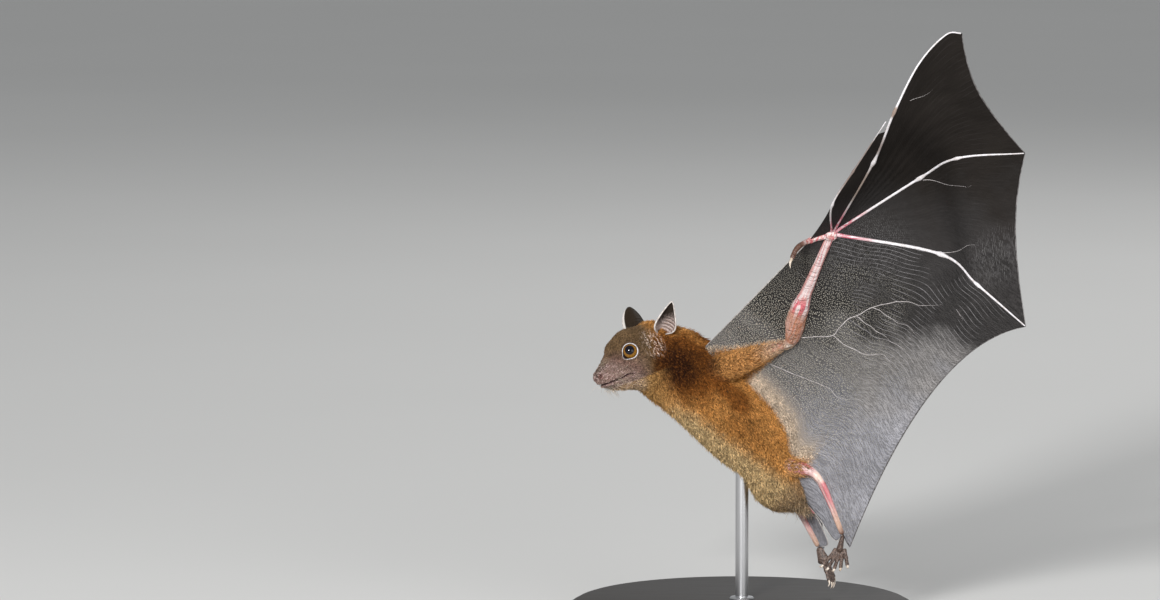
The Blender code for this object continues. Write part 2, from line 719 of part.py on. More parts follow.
def add_tail_membrane(side, sign):
    """The narrow skin along the inside of a leg, from the tail to the ankle."""
    leg, tag = leg_joints(side, sign), "_" + side
    inner = [Vector((TAIL[1][0] + 1.5, 0.9 * sign, TAIL[1][2]))]
    inner += [mirrored(point, sign) for point in LEGS[side]["inner_edge"]] + [leg["ankle"]]
    grid = web(curve([leg["hip"], leg["knee"], leg["ankle"]]), curve(inner), 2, 6, 0.0, 0.96, 0.0, 0.0)
    add_solid("uropatagium" + tag, sheet(grid), WING_GREY,
              ("whole_body", "tail", "thigh" + tag, "shank" + tag, "foot" + tag))


# ---- the stand
def upright(name, radius, low, high, segments):
    """A plain cylinder on the world's vertical axis, given in millimetres."""
    bm = bmesh.new()
    place = Matrix.Translation((0, 0, (low + high) / 2 * MM))
    bmesh.ops.create_cone(bm, cap_ends=True, segments=segments, radius1=radius * MM, radius2=radius * MM,
                          depth=(high - low) * MM, matrix=place)
    mesh = bpy.data.meshes.new(name)
    bm.to_mesh(mesh)
    bm.free()
    return shade(mesh)


def rod_builder():
    def build(name, grow):
        low = BASE_HEIGHT - ROD_SEAT + GAP - grow
        high = BELLY_HEIGHT + ROD_REACH + grow
        return upright(name, ROD_RADIUS + grow, low, high, 12)
    return build


def add_stand():
    base = add_object("stand_base", upright("stand_base", BASE_RADIUS, 0.0, BASE_HEIGHT, 36))
    base.data.materials.append(paint("stand_base", STAND_DARK, 0.4))
    bevel = base.modifiers.new("soft_rim", "BEVEL")
    bevel.width = BASE_BEVEL * MM
    bevel.segments = 1
    bevel.limit_method = "ANGLE"
    BUILDERS["stand_rod"] = rod_builder()
    trim(base, ("stand_rod",))
    rod = add_object("stand_rod", BUILDERS["stand_rod"]("stand_rod", 0.0))
    rod.data.materials.append(paint("stand_rod", STEEL, 0.3, 1.0))


def main():
    for thing in list(bpy.data.objects):
        bpy.data.objects.remove(thing, do_unlink=True)
    add_body()
    add_ears()
    for side, sign in (("left", 1), ("right", -1)):
        add_leg(side, sign)
        add_arm(side, sign)
        add_fingers(side, sign)
        add_arm_membranes(side, sign)
        add_hand_membranes(side, sign)
        add_tail_membrane(side, sign)
    add_stand()


main()
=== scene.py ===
"""Looks of a short-nosed fruit bat in climbing flight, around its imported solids.

The animal is worked out in a frame of its own, in millimetres: forward, left and up, from a point in
the middle of the trunk.  world() turns that frame into metres on the stand.
"""

import math

import bpy
import numpy as np
from mathutils import Matrix, Vector

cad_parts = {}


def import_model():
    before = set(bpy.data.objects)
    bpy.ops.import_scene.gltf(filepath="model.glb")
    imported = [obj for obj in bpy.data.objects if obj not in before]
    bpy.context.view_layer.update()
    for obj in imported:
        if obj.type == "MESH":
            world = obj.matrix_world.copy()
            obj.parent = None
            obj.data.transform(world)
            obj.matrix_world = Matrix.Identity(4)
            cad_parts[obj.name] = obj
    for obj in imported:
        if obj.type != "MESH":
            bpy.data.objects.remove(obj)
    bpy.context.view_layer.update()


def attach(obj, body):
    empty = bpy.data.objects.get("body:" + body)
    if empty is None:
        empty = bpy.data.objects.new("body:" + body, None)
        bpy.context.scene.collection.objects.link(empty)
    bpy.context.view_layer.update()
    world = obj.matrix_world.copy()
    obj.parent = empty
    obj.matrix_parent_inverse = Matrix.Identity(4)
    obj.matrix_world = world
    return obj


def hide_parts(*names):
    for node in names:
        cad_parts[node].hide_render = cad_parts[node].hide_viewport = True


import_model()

# ---- the solids' sizes, in millimetres and degrees
MM = 0.001
CLIMB = 46.2
HEADING = -2.1
BANK = -6.0
BASE_RADIUS = 68.0
BASE_HEIGHT = 10.0
ROD_RADIUS = 2.5
ROD_REACH = 9.0
BELLY_ENTRY = (-14.1, 0.0, -9.8)
BELLY_HEIGHT = 59.0
SQUARE = 2.3
WING = {
    "neck_edge": (31.0, 8.0, 14.0),
    "shoulder": (22.5, 7.5, 8.5),
    "elbow": (9.9, 37.3, 39.0),
    "wrist": (28.4, 81.3, 78.4),
    "thumb_knuckle": (32.3, 78.6, 70.6),
    "thumb_bend": (33.4, 80.4, 65.6),
    "thumb_end": (31.8, 82.2, 61.0),
    "thumb_claw": (29.6, 83.4, 59.4),
    "knuckle_2": (35.7, 104.0, 85.7),
    "tip_2": (39.3, 109.2, 99.9),
    "edge_2": (44.0, 124.3, 120.9),
    "knuckle_3": (36.6, 108.8, 107.5),
    "middle_3": (44.3, 128.1, 125.2),
    "bend_3": (50.8, 129.3, 143.9),
    "crook_3": (51.6, 129.8, 158.2),
    "tip_3": (47.9, 129.9, 162.9),
    "knuckle_4": (20.7, 92.7, 116.0),
    "middle_4": (16.3, 108.0, 130.8),
    "tip_4": (0.4, 108.8, 150.0),
    "knuckle_5": (-5.0, 89.3, 102.2),
    "middle_5": (-22.9, 99.7, 104.1),
    "tip_5": (-46.0, 100.4, 106.2),
}
FLANK = ((13.0, 8.0, 12.0), (-2.0, 8.0, 12.0), (-14.0, 7.5, 9.5))
LEGS = {
    "left": {
        "hip": (-23.0, 6.0, 5.0),
        "knee": (-34.9, 13.8, 10.8),
        "ankle": (-57.4, 13.5, 2.4),
        "heel": (-62.6, 15.0, 1.0),
        "ball": (-60.8, 14.6, -2.6),
        "first_toe": (-60.4, 17.6, -11.4),
        "last_toe": (-67.2, 17.4, -4.6),
        "claw_turn": (1.5, 1.2, 0.5),
        "edge_pull": ((17.6, 22.0, 37.4), (16.4, -24.0, -24.4)),
        "inner_edge": ((-46.9, 7.8, 0.1), (-56.6, 12.0, -1.3)),
    },
    "right": {
        "hip": (-23.0, 6.0, 2.0),
        "knee": (-32.6, 13.6, -1.4),
        "ankle": (-55.0, 13.8, -8.2),
        "heel": (-57.0, 14.4, -7.0),
        "ball": (-60.4, 13.4, -10.6),
        "first_toe": (-68.0, 15.4, -12.2),
        "last_toe": (-67.4, 9.0, -14.4),
        "claw_turn": (0.2, -0.6, -1.7),
        "edge_pull": ((33.0, 10.0, 20.0), (16.4, -24.0, -24.4)),
        "inner_edge": ((-47.2, 5.0, -1.0), (-56.4, 10.4, -4.6)),
    },
}
TAIL = ((-34.0, 0.0, 0.5), (-40.0, 0.0, 0.6), (-44.5, 0.0, -0.2))
NOSE = np.array((52.4, 16.0, -23.8))
HEAD_AXES = np.array(((0.282, 0.472, -0.835), (-0.291, 0.872, 0.394), (0.915, 0.132, 0.383)))
EYE_PLACE = (-14.4, 6.35, 3.55)
EYE_RADIUS = 3.5
EAR_BASE = (-28.4, 8.0, 4.2)
EAR_TIP = (-33.2, 17.8, 15.8)
EAR_WIDTH = 7.8

# rings of the trunk and neck: lower edge and upper edge (forward, up), half width, shift left,
# and how far the ring has turned from the trunk's side to the head's side
TRUNK_RINGS = (
    ((-38.6, -3.0), (-38.2, 0.4), 2.2, 0.0, 0.0),
    ((-36.6, -7.0), (-36.0, 4.6), 6.0, 0.0, 0.0),
    ((-32.0, -11.4), (-31.0, 8.2), 9.0, 0.0, 0.0),
    ((-24.6, -12.9), (-24.0, 11.2), 11.2, 0.0, 0.0),
    ((-15.0, -11.2), (-14.0, 14.6), 13.0, 0.0, 0.0),
    ((-3.5, -13.0), (-2.5, 17.2), 14.2, 0.0, 0.0),
    ((8.5, -13.8), (8.5, 18.6), 15.0, 0.0, 0.0),
    ((18.0, -14.3), (18.0, 18.4), 15.0, 0.0, 0.0),
    ((26.0, -15.2), (28.0, 18.2), 13.8, 0.2, 0.0),
    ((30.0, -15.9), (34.8, 16.4), 12.9, 1.0, 0.1),
    ((32.4, -16.2), (41.4, 14.0), 12.0, 2.6, 0.35),
)
# rings of the head: lower edge and upper edge (behind the nose, above it), half width
HEAD_RINGS = (
    ((-16.6, -14.4), (-30.8, 10.4), 11.0),
    ((-15.3, -13.3), (-25.6, 10.6), 10.8),
    ((-13.8, -12.3), (-21.2, 11.3), 10.5),
    ((-12.2, -11.5), (-17.6, 11.5), 9.8),
    ((-10.6, -10.8), (-14.4, 10.3), 8.7),
    ((-8.8, -10.2), (-11.4, 8.2), 7.2),
    ((-7.0, -9.4), (-8.4, 6.1), 5.9),
    ((-5.2, -8.4), (-5.6, 4.0), 4.9),
    ((-3.5, -7.2), (-3.1, 2.3), 4.3),
    ((-1.7, -5.7), (-1.2, 1.0), 3.5),
    ((-0.4, -3.7), (-0.1, -0.3), 2.0),
)
NECK_PLACE = 8.0            # places along that chain of rings
HEAD_PLACE = 11.0
NOSE_PLACE = 21.0
FINGERS = {
    2: ("knuckle_2", "tip_2", "edge_2"),
    3: ("knuckle_3", "middle_3", "bend_3", "crook_3", "tip_3"),
    4: ("knuckle_4", "middle_4", "tip_4"),
    5: ("knuckle_5", "middle_5", "tip_5"),
}
SIDES = (("left", 1), ("right", -1))
CHANCE = np.random.default_rng(7)


# ---- frames
def pose_turn():
    """The turn from (forward, left, up) to the world's axes."""
    turn = Matrix.Rotation(math.radians(BANK), 3, "X")
    turn = turn @ Matrix.Rotation(math.radians(HEADING), 3, "Z")
    turn = turn @ Matrix.Rotation(math.radians(CLIMB), 3, "Y")
    return turn @ Matrix(((-1, 0, 0), (0, -1, 0), (0, 0, 1)))


TURN = np.array(pose_turn())
ORIGIN = np.array((0.0, 0.0, BELLY_HEIGHT)) - TURN @ np.array(BELLY_ENTRY)


def world(points):
    """World places in metres of points given as (forward, left, up) in millimetres."""
    return (ORIGIN + np.asarray(points, float) @ TURN.T) * MM


def on_head(points):
    """Points of the head's own frame (behind, left, above), as (forward, left, up)."""
    return NOSE + np.asarray(points, float) @ HEAD_AXES


def in_head(points):
    """The way back from (forward, left, up) to the head's own frame."""
    return (np.asarray(points, float) - NOSE) @ np.linalg.inv(HEAD_AXES)


def mirrored(point, sign):
    """A point on the left (1) or the right (-1) side."""
    return np.array((point[0], point[1] * sign, point[2]))


def unit(vectors):
    vectors = np.asarray(vectors, float)
    return vectors / np.maximum(np.linalg.norm(vectors, axis=-1, keepdims=True), 1e-9)


def soft_step(low, high, value):
    """0 up to low, 1 from high on, and soft between; low may be the larger."""
    t = np.clip((np.asarray(value, float) - low) / (high - low), 0, 1)
    return t * t * (3 - 2 * t)


def hump(value, middle, spread):
    """1 where a value is at its middle, and 0 well away from it."""
    return np.exp(-((np.asarray(value, float) - middle) / spread) ** 2)


# ---- curves
def spline(rows, place):
    """Smooth values at places (0 to the last index) of a list of rows."""
    rows = np.asarray(rows, float)
    if rows.ndim == 1:
        return spline(rows[:, None], place)[..., 0]
    padded = np.vstack([2 * rows[:1] - rows[1:2], rows, 2 * rows[-1:] - rows[-2:-1]])
    place = np.clip(np.asarray(place, float), 0, len(rows) - 1)
    index = np.minimum(place.astype(int), len(rows) - 2)
    t = (place - index)[..., None]
    a, b, c, d = (padded[index + i] for i in range(4))
    return 0.5 * (2 * b + (c - a) * t + (2 * a - 5 * b + 4 * c - d) * t ** 2
                  + (3 * b - a - 3 * c + d) * t ** 3)


def chord_length(points):
    return np.linalg.norm(np.diff(np.asarray(points, float), axis=0), axis=1).sum()


def share_at(points, index):
    """The share of a path's length at which it passes one of its points."""
    return chord_length(points[:index + 1]) / chord_length(points)


def path_through(points):
    """A smooth path through points, as a function of shares (0 to 1) of its length."""
    rows = np.array(points, float)
    steps = np.linalg.norm(np.diff(rows, axis=0), axis=1)
    marks = np.concatenate([[0.0], np.cumsum(steps)])

    def at(share):
        goal = np.clip(np.asarray(share, float), 0, 1) * marks[-1]
        index = np.clip(np.searchsorted(marks, goal, side="right") - 1, 0, len(rows) - 2)
        return spline(rows, index + (goal - marks[index]) / steps[index])
    return at


def straight(start, end):
    start, end = np.asarray(start, float), np.asarray(end, float)
    return lambda share: start + (end - start) * np.asarray(share, float)[..., None]


def bezier(first, second, third, fourth):
    """A curve from the first point to the fourth, drawn to the two between."""
    def at(share):
        t = np.asarray(share, float)[..., None]
        return ((1 - t) ** 3 * first + 3 * (1 - t) ** 2 * t * second
                + 3 * (1 - t) * t ** 2 * third + t ** 3 * fourth)
    return at


def table(pairs, share):
    """Value between (share, value) pairs."""
    shares, values = zip(*pairs)
    return np.interp(share, shares, values)


# ---- modelling tools
def only(thing):
    """Select one object and nothing else."""
    bpy.ops.object.select_all(action="DESELECT")
    thing.select_set(True)
    bpy.context.view_layer.objects.active = thing
    return thing


def points_of(mesh):
    """A mesh's points in metres, one row each."""
    co = np.empty(len(mesh.vertices) * 3)
    mesh.vertices.foreach_get("co", co)
    return co.reshape(-1, 3)


def move_points(mesh, points):
    """Move a mesh's points to places given as (forward, left, up) in millimetres."""
    mesh.vertices.foreach_set("co", world(points).ravel())
    mesh.update()


def face_outwards(thing):
    """Turn all faces outwards."""
    only(thing)
    bpy.ops.object.mode_set(mode="EDIT")
    bpy.ops.mesh.select_all(action="SELECT")
    bpy.ops.mesh.normals_make_consistent(inside=False)
    bpy.ops.object.mode_set(mode="OBJECT")


def finish(thing, surface=None):
    """Face outwards, shade smooth and give the material."""
    face_outwards(thing)
    bpy.ops.object.shade_smooth()
    if surface is not None:
        thing.data.materials.clear()
        thing.data.materials.append(surface)
    return thing


def apply_modifiers(thing):
    """Make a thing's modifiers part of its mesh."""
    only(thing)
    for modifier in list(thing.modifiers):
        bpy.ops.object.modifier_apply(modifier=modifier.name)


def added(add, name, **settings):
    """Add a primitive with nothing else selected, and name it."""
    bpy.ops.object.select_all(action="DESELECT")
    add(**settings)
    thing = bpy.context.object
    thing.name = name
    return thing


def shaped_ball(name, segments, rings, place, surface):
    """A ball primitive whose rings are moved to place(share from end to end, angle round)."""
    thing = added(bpy.ops.mesh.primitive_uv_sphere_add, name, segments=segments, ring_count=rings, radius=1.0)
    co = points_of(thing.data)
    share = np.arccos(np.clip(co[:, 2], -1, 1)) / math.pi
    angle = np.arctan2(co[:, 1], co[:, 0])
    move_points(thing.data, place(share, angle))
    return finish(thing, surface)


def shaped_sheet(name, columns, rows, place, thickness, *materials):
    """A grid primitive moved to place(u, v) and thickened on both sides, each with its material."""
    thing = added(bpy.ops.mesh.primitive_grid_add, name, x_subdivisions=columns, y_subdivisions=rows,
                  size=2.0, calc_uvs=True)
    co = points_of(thing.data)
    move_points(thing.data, place((co[:, 0] + 1) / 2, (co[:, 1] + 1) / 2))
    wall = thing.modifiers.new("wall", "SOLIDIFY")
    wall.thickness = thickness * MM
    wall.offset = 0.0
    wall.material_offset = len(materials) - 1
    for each in materials:
        thing.data.materials.append(each)
    apply_modifiers(thing)
    return finish(thing)


def cross_axes(at, share, hint):
    """Two directions across a path at the given shares."""
    ahead = unit(at(np.clip(share + 0.01, 0, 1)) - at(np.clip(share - 0.01, 0, 1)))
    across = unit(np.cross(ahead, np.asarray(hint, float)))
    return across, np.cross(ahead, across)


def limb(at, radii, hint, flat=1.0, relief=None, blunt=0.02):
    """place() for a tube along a path: radii are (share, radius) pairs, relief adds to the radius, and the
    ends are rounded over a share of the length."""
    def rounded(share):
        return np.sqrt(np.clip(1 - (1 - np.clip(share / blunt, 0, 1)) ** 2, 0, 1))

    def place(share, angle):
        across, up = cross_axes(at, share, hint)
        radius = table(radii, share)
        if relief is not None:
            radius = radius + relief(share, angle)
        radius = (radius * (rounded(share) * rounded(1 - share)))[:, None]
        return (at(share) + across * radius * np.cos(angle)[:, None]
                + up * radius * flat * np.sin(angle)[:, None])
    return place


def weld(target, others, name):
    """Unite closed pieces with a target in one skin that has no open edges."""
    room = bpy.data.collections.new(name)
    for other in others:
        room.objects.link(other)
    union = target.modifiers.new("union", "BOOLEAN")
    union.operation = "UNION"
    union.solver = "MANIFOLD"
    union.operand_type = "COLLECTION"
    union.collection = room
    union.material_mode = "TRANSFER"
    apply_modifiers(target)
    for other in others:
        bpy.data.objects.remove(other)
    bpy.data.collections.remove(room)
    return target


def join(things, name):
    """Make one object of several."""
    bpy.ops.object.select_all(action="DESELECT")
    for thing in things:
        thing.select_set(True)
    bpy.context.view_layer.objects.active = things[0]
    if len(things) > 1:
        bpy.ops.object.join()
    things[0].name = name
    return things[0]


def settle(thing, slot, *nodes):
    """Hand a finished piece to the stand-fixed body."""
    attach(thing, "root")
    if nodes:
        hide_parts(*nodes)
    return thing


# ---- finishes: a small helper that adds nodes to one tree and wires them
class Board:
    """Adds nodes to one tree; values given as sockets are wired, and others are set."""

    def __init__(self, tree):
        self.tree = tree

    def wire(self, socket, value):
        if isinstance(value, bpy.types.NodeSocket):
            self.tree.links.new(value, socket)
        elif value is not None:
            socket.default_value = (*value, 1.0) if socket.type == "RGBA" and len(value) == 3 else value

    def add(self, kind, settings=None, **inputs):
        node = self.tree.nodes.new("ShaderNode" + kind)
        for name, value in (settings or {}).items():
            setattr(node, name, value)
        for name, value in inputs.items():
            self.wire(node.inputs[name.replace("_", " ")], value)
        return node

    def math(self, operation, *values):
        node = self.tree.nodes.new("ShaderNodeMath")
        node.operation = operation
        for socket, value in zip(node.inputs, values):
            self.wire(socket, value)
        return node.outputs[0]

    def times(self, first, second):
        return self.math("MULTIPLY", first, second)

    def vector(self, operation, *values):
        node = self.tree.nodes.new("ShaderNodeVectorMath")
        node.operation = operation
        for socket, value in zip(node.inputs, values):
            self.wire(socket, value)
        return node.outputs["Value"] if operation in ("LENGTH", "DOT_PRODUCT") else node.outputs[0]

    def ramp(self, value, low, high):
        """0 where value is low, 1 where it is high, and soft between; low may be the larger."""
        node = self.add("MapRange", {"interpolation_type": "SMOOTHSTEP"}, Value=value)
        bounds = (low, high, 0.0, 1.0) if low < high else (high, low, 1.0, 0.0)
        for name, bound in zip(("From Min", "From Max", "To Min", "To Max"), bounds):
            node.inputs[name].default_value = bound
        return node.outputs[0]

    def spread(self, value, low, high):
        """A 0 to 1 value spread over low to high."""
        return self.math("MULTIPLY_ADD", value, high - low, low)

    def coords(self, kind):
        return self.add("TexCoord").outputs[kind]

    def parts(self, place):
        """The three numbers of a place."""
        return self.add("SeparateXYZ", Vector=place).outputs

    def scaled(self, place, factor):
        """A place or direction times one number."""
        longer = self.vector("SCALE", place)
        self.wire(longer.node.inputs["Scale"], factor)
        return longer

    def wander(self, place, amount, **settings):
        """Cloudy offsets of up to half an amount along each axis."""
        cloud = self.add("TexNoise", Vector=place, **settings).outputs["Color"]
        return self.scaled(self.vector("SUBTRACT", cloud, (0.5, 0.5, 0.5)), amount)

    def brighten(self, colour, gain):
        return self.add("HueSaturation", Value=gain, Color=colour).outputs[0]

    def mix(self, factor, first, second, blend="MIX"):
        node = self.tree.nodes.new("ShaderNodeMix")
        node.data_type = "RGBA"
        node.blend_type = blend
        self.wire(node.inputs[0], factor)
        self.wire(node.inputs[6], first)
        self.wire(node.inputs[7], second)
        return node.outputs[2]

    def tint(self, colour, mask, other, share):
        """A colour led towards another one by a share of a mask."""
        return self.mix(self.times(mask, share), colour, other)

    def paint(self, shader, colour):
        self.wire(shader.inputs["Base Color"], colour)

    def noise(self, place, scale, detail, stretch=None, rough=0.5):
        if stretch is not None:
            place = self.vector("MULTIPLY", place, stretch)
        node = self.add("TexNoise", Vector=place, Scale=scale, Detail=detail, Roughness=rough)
        return node.outputs[0]

    def spot(self, place, centre, radii, full=0.35):
        """1 at the middle of an ellipsoid, out to a share of its radii, and 0 outside it."""
        inside = self.vector("DIVIDE", self.vector("SUBTRACT", place, centre), radii)
        return self.ramp(self.vector("LENGTH", inside), 1.0, full)

    def most(self, *masks):
        first = masks[0]
        for other in masks[1:]:
            first = self.math("MAXIMUM", first, other)
        return first


def group(name, inputs, outputs):
    """An empty shader group with named sockets, as (group, board, input node, output node)."""
    tree = bpy.data.node_groups.new(name, "ShaderNodeTree")
    for label, kind in inputs:
        tree.interface.new_socket(name=label, in_out="INPUT", socket_type="NodeSocket" + kind)
    for label, kind in outputs:
        tree.interface.new_socket(name=label, in_out="OUTPUT", socket_type="NodeSocket" + kind)
    board = Board(tree)
    return tree, board, tree.nodes.new("NodeGroupInput"), tree.nodes.new("NodeGroupOutput")


def material(name, roughness, **constants):
    """A material with a Principled shader, as (material, board, shader)."""
    made = bpy.data.materials.new(name)
    made.use_nodes = True
    board = Board(made.node_tree)
    shader = made.node_tree.nodes["Principled BSDF"]
    shader.inputs["Roughness"].default_value = roughness
    for label, value in constants.items():
        shader.inputs[label.replace("_", " ")].default_value = value
    return made, board, shader


def place_group(board, tree, **inputs):
    """The outputs of a shader group placed in another tree."""
    node = board.tree.nodes.new("ShaderNodeGroup")
    node.node_tree = tree
    for label, value in inputs.items():
        board.wire(node.inputs[label.replace("_", " ")], value)
    return node.outputs


def bump(board, shader, height, depth):
    """Raise the surface by height (0 to 1) times depth in millimetres."""
    node = board.add("Bump", Height=height, Distance=depth * MM, Strength=1.0)
    board.wire(shader.inputs["Normal"], node.outputs[0])


def attribute(board, name):
    """A value kept at a mesh's points."""
    node = board.tree.nodes.new("ShaderNodeAttribute")
    node.attribute_name = name
    return node.outputs["Fac"]


def body_frame_group():
    """Object coordinates as (forward, left, up) in millimetres, with left made positive on both sides,
    and the same place in the head's own frame."""
    tree, board, _, end = group("body_frame", (), (("Body", "Vector"), ("Head", "Vector")))
    spot = board.coords("Object")
    back = Matrix(TURN.T.tolist())
    own = board.add("Mapping", Vector=spot)
    own.inputs["Scale"].default_value = (1 / MM,) * 3
    own.inputs["Rotation"].default_value = back.to_euler()
    own.inputs["Location"].default_value = tuple(-(TURN.T @ ORIGIN))
    forward, left, up = board.parts(own.outputs[0])
    folded = board.add("CombineXYZ", X=forward, Y=board.math("ABSOLUTE", left), Z=up)
    from_nose = board.vector("SUBTRACT", own.outputs[0], tuple(NOSE))
    ways = np.linalg.inv(HEAD_AXES).T
    behind, left, above = (board.vector("DOT_PRODUCT", from_nose, tuple(way)) for way in ways)
    in_head_frame = board.add("CombineXYZ", X=behind, Y=board.math("ABSOLUTE", left), Z=above)
    board.wire(end.inputs["Body"], folded.outputs[0])
    board.wire(end.inputs["Head"], in_head_frame.outputs[0])
    return tree


BODY_FRAME = body_frame_group()

COAT_ORANGE = (0.49, 0.220, 0.056)
COAT_TAN = (0.50, 0.290, 0.105)
COAT_BELLY = (0.60, 0.435, 0.225)
COAT_RED = (0.20, 0.064, 0.010)
COAT_DARK = (0.034, 0.010, 0.003)
COAT_CROWN = (0.17, 0.105, 0.052)
COAT_CHEEK = (0.27, 0.175, 0.12)
COAT_PALE = (0.58, 0.47, 0.36)
COAT_RUMP = (0.34, 0.22, 0.12)
COAT_FLECK = (0.95, 0.76, 0.64)
COAT_ARM = (0.54, 0.37, 0.27)
MUZZLE_PINK = (0.245, 0.142, 0.125)
MUZZLE_DARK = (0.030, 0.015, 0.013)
NOSTRIL_RED = (0.30, 0.055, 0.05)
UNDER_FUR = (0.6, 0.55, 0.5)
NOSTRIL = (-1.0, 2.3, -1.15)     # its place in the head's own frame


def markings_group():
    """The coat's colours by their place on the animal, and how bare the muzzle is."""
    tree, board, _, end = group("markings", (), (("Colour", "Color"), ("Bare", "Float")))
    places = place_group(board, BODY_FRAME)
    body, head = places["Body"], places["Head"]
    drift = board.noise(body, 0.16, 3.0)
    wobble = board.wander(body, 5.0, Scale=0.25)
    place = board.vector("ADD", body, wobble)
    forward, left, up = board.parts(place)
    face = board.vector("ADD", head, board.vector("MULTIPLY", wobble, (0.3,) * 3))
    behind, _, above = board.parts(face)

    low = board.math("MULTIPLY_ADD", forward, 0.18, up)
    belly = board.times(board.ramp(low, -1.0, -8.5), board.ramp(forward, 31.0, 15.0))
    flank = board.most(board.spot(place, (15.0, 14.0, 8.8), (8.5, 14.0, 4.6)),
                       board.spot(place, (7.5, 14.0, 9.2), (10.5, 14.0, 6.4)),
                       board.times(board.spot(place, (-1.0, 14.0, 4.0), (14.0, 14.0, 7.0)), 0.4))
    back = board.times(board.ramp(up, 13.0, 19.0), board.ramp(left, 22.0, 12.0))
    rough_place = board.vector("ADD", place, board.wander(body, 7.0, Scale=0.9, Detail=3.0))
    strands = board.spread(board.ramp(board.noise(body, 1.1, 2.0), 0.36, 0.52), 0.45, 1.0)
    neck_core = board.times(board.most(
        board.spot(rough_place, (33.4, 13.0, 1.8), (16.5, 18.0, 12.0), 0.25),
        board.times(board.spot(rough_place, (27.5, 14.0, 10.5), (9.5, 14.0, 7.0)), 0.6)), strands)
    neck_ring = board.spot(rough_place, (31.0, 13.0, 3.4), (21.0, 18.0, 16.0), 0.5)
    nape = board.spot(place, (31.0, 0.0, 20.0), (19.0, 17.0, 11.0))
    rump = board.ramp(forward, -27.0, -34.0)

    colour = board.mix(board.spread(drift, -0.1, 0.5), COAT_ORANGE, COAT_TAN)
    colour = board.tint(colour, back, COAT_RED, 0.6)
    colour = board.tint(colour, belly, COAT_BELLY, 0.92)
    colour = board.tint(colour, flank, COAT_RED, 0.85)
    colour = board.tint(colour, rump, COAT_RUMP, 0.75)
    colour = board.mix(board.ramp(board.parts(body)[1], 27.0, 43.0), colour, COAT_ARM)
    colour = board.mix(board.times(board.most(neck_ring, nape), 0.92), colour, COAT_RED)
    colour = board.mix(neck_core, colour, COAT_DARK)

    crown = board.ramp(board.math("MULTIPLY_ADD", above, 0.41, behind), -24.5, -19.0)
    colour = board.mix(crown, colour, COAT_CROWN)
    low_face = board.times(board.ramp(behind, -20.5, -14.5),
                           board.times(board.ramp(above, 5.0, -1.5), board.ramp(above, -9.5, -7.0)))
    colour = board.tint(colour, low_face, COAT_CHEEK, 0.9)
    throat = board.times(board.ramp(above, -6.9, -8.2), board.ramp(behind, -26.0, -17.0))
    flecks = board.times(board.spot(head, (-23.2, 10.0, 3.5), (5.5, 7.0, 8.0)),
                         board.ramp(board.noise(head, 1.0, 2.0, stretch=(1.8, 1.4, 0.45)), 0.53, 0.61))
    colour = board.mix(flecks, colour, COAT_FLECK)
    slant = board.math("MULTIPLY_ADD", above, -0.85, behind)
    snout = board.ramp(behind, -18.0, -14.0)
    pink = board.times(board.ramp(slant, -17.0, -7.5), snout)
    colour = board.tint(colour, pink, MUZZLE_PINK, 0.85)
    colour = board.tint(colour, throat, COAT_TAN, 0.85)
    bridge = board.most(board.spot(head, (-2.4, 0.6, 2.2), (5.0, 4.2, 3.2)),
                        board.times(board.spot(head, (-0.6, 0.8, -0.4), (2.6, 3.4, 2.6)), 0.7))
    colour = board.tint(colour, bridge, MUZZLE_DARK, 0.9)
    ridge = board.times(board.ramp(board.parts(head)[1], 4.6, 2.0),
                        board.times(board.ramp(slant, -20.0, -12.0), board.ramp(above, 1.0, 3.5)))
    colour = board.tint(colour, ridge, COAT_CROWN, 0.6)
    nostril = board.spot(head, NOSTRIL, (1.3, 1.4, 1.2))
    colour = board.mix(nostril, colour, NOSTRIL_RED)
    board.wire(end.inputs["Colour"], colour)
    board.wire(end.inputs["Bare"], board.times(board.ramp(slant, -10.5, -5.5), snout))
    return tree


MARKINGS = markings_group()


def skin_under_fur(board):
    """The coat's colour, darker as on the skin below it."""
    return board.mix(1.0, place_group(board, MARKINGS)["Colour"], UNDER_FUR, "MULTIPLY")


def coat_finish():
    """Fur: darker at the root, paler at the tip, each tuft a little different."""
    made, board, shader = material("coat", 0.75, Specular_IOR_Level=0.12)
    colour = place_group(board, MARKINGS)["Colour"]
    body = place_group(board, BODY_FRAME)["Body"]
    tip, shade = attribute(board, "tip"), attribute(board, "shade")
    pale = attribute(board, "pale")
    colour = board.mix(pale, colour, COAT_PALE)
    clumps = board.spread(board.ramp(board.noise(body, 1.5, 2.0), 0.34, 0.66), 0.66, 1.34)
    broad = board.spread(board.ramp(board.noise(body, 0.35, 2.0), 0.3, 0.7), 0.82, 1.18)
    gain = board.times(board.spread(tip, 0.35, 1.40), board.spread(shade, 0.50, 1.50))
    gain = board.times(gain, board.times(clumps, broad))
    board.paint(shader, board.brighten(colour, gain))
    return made


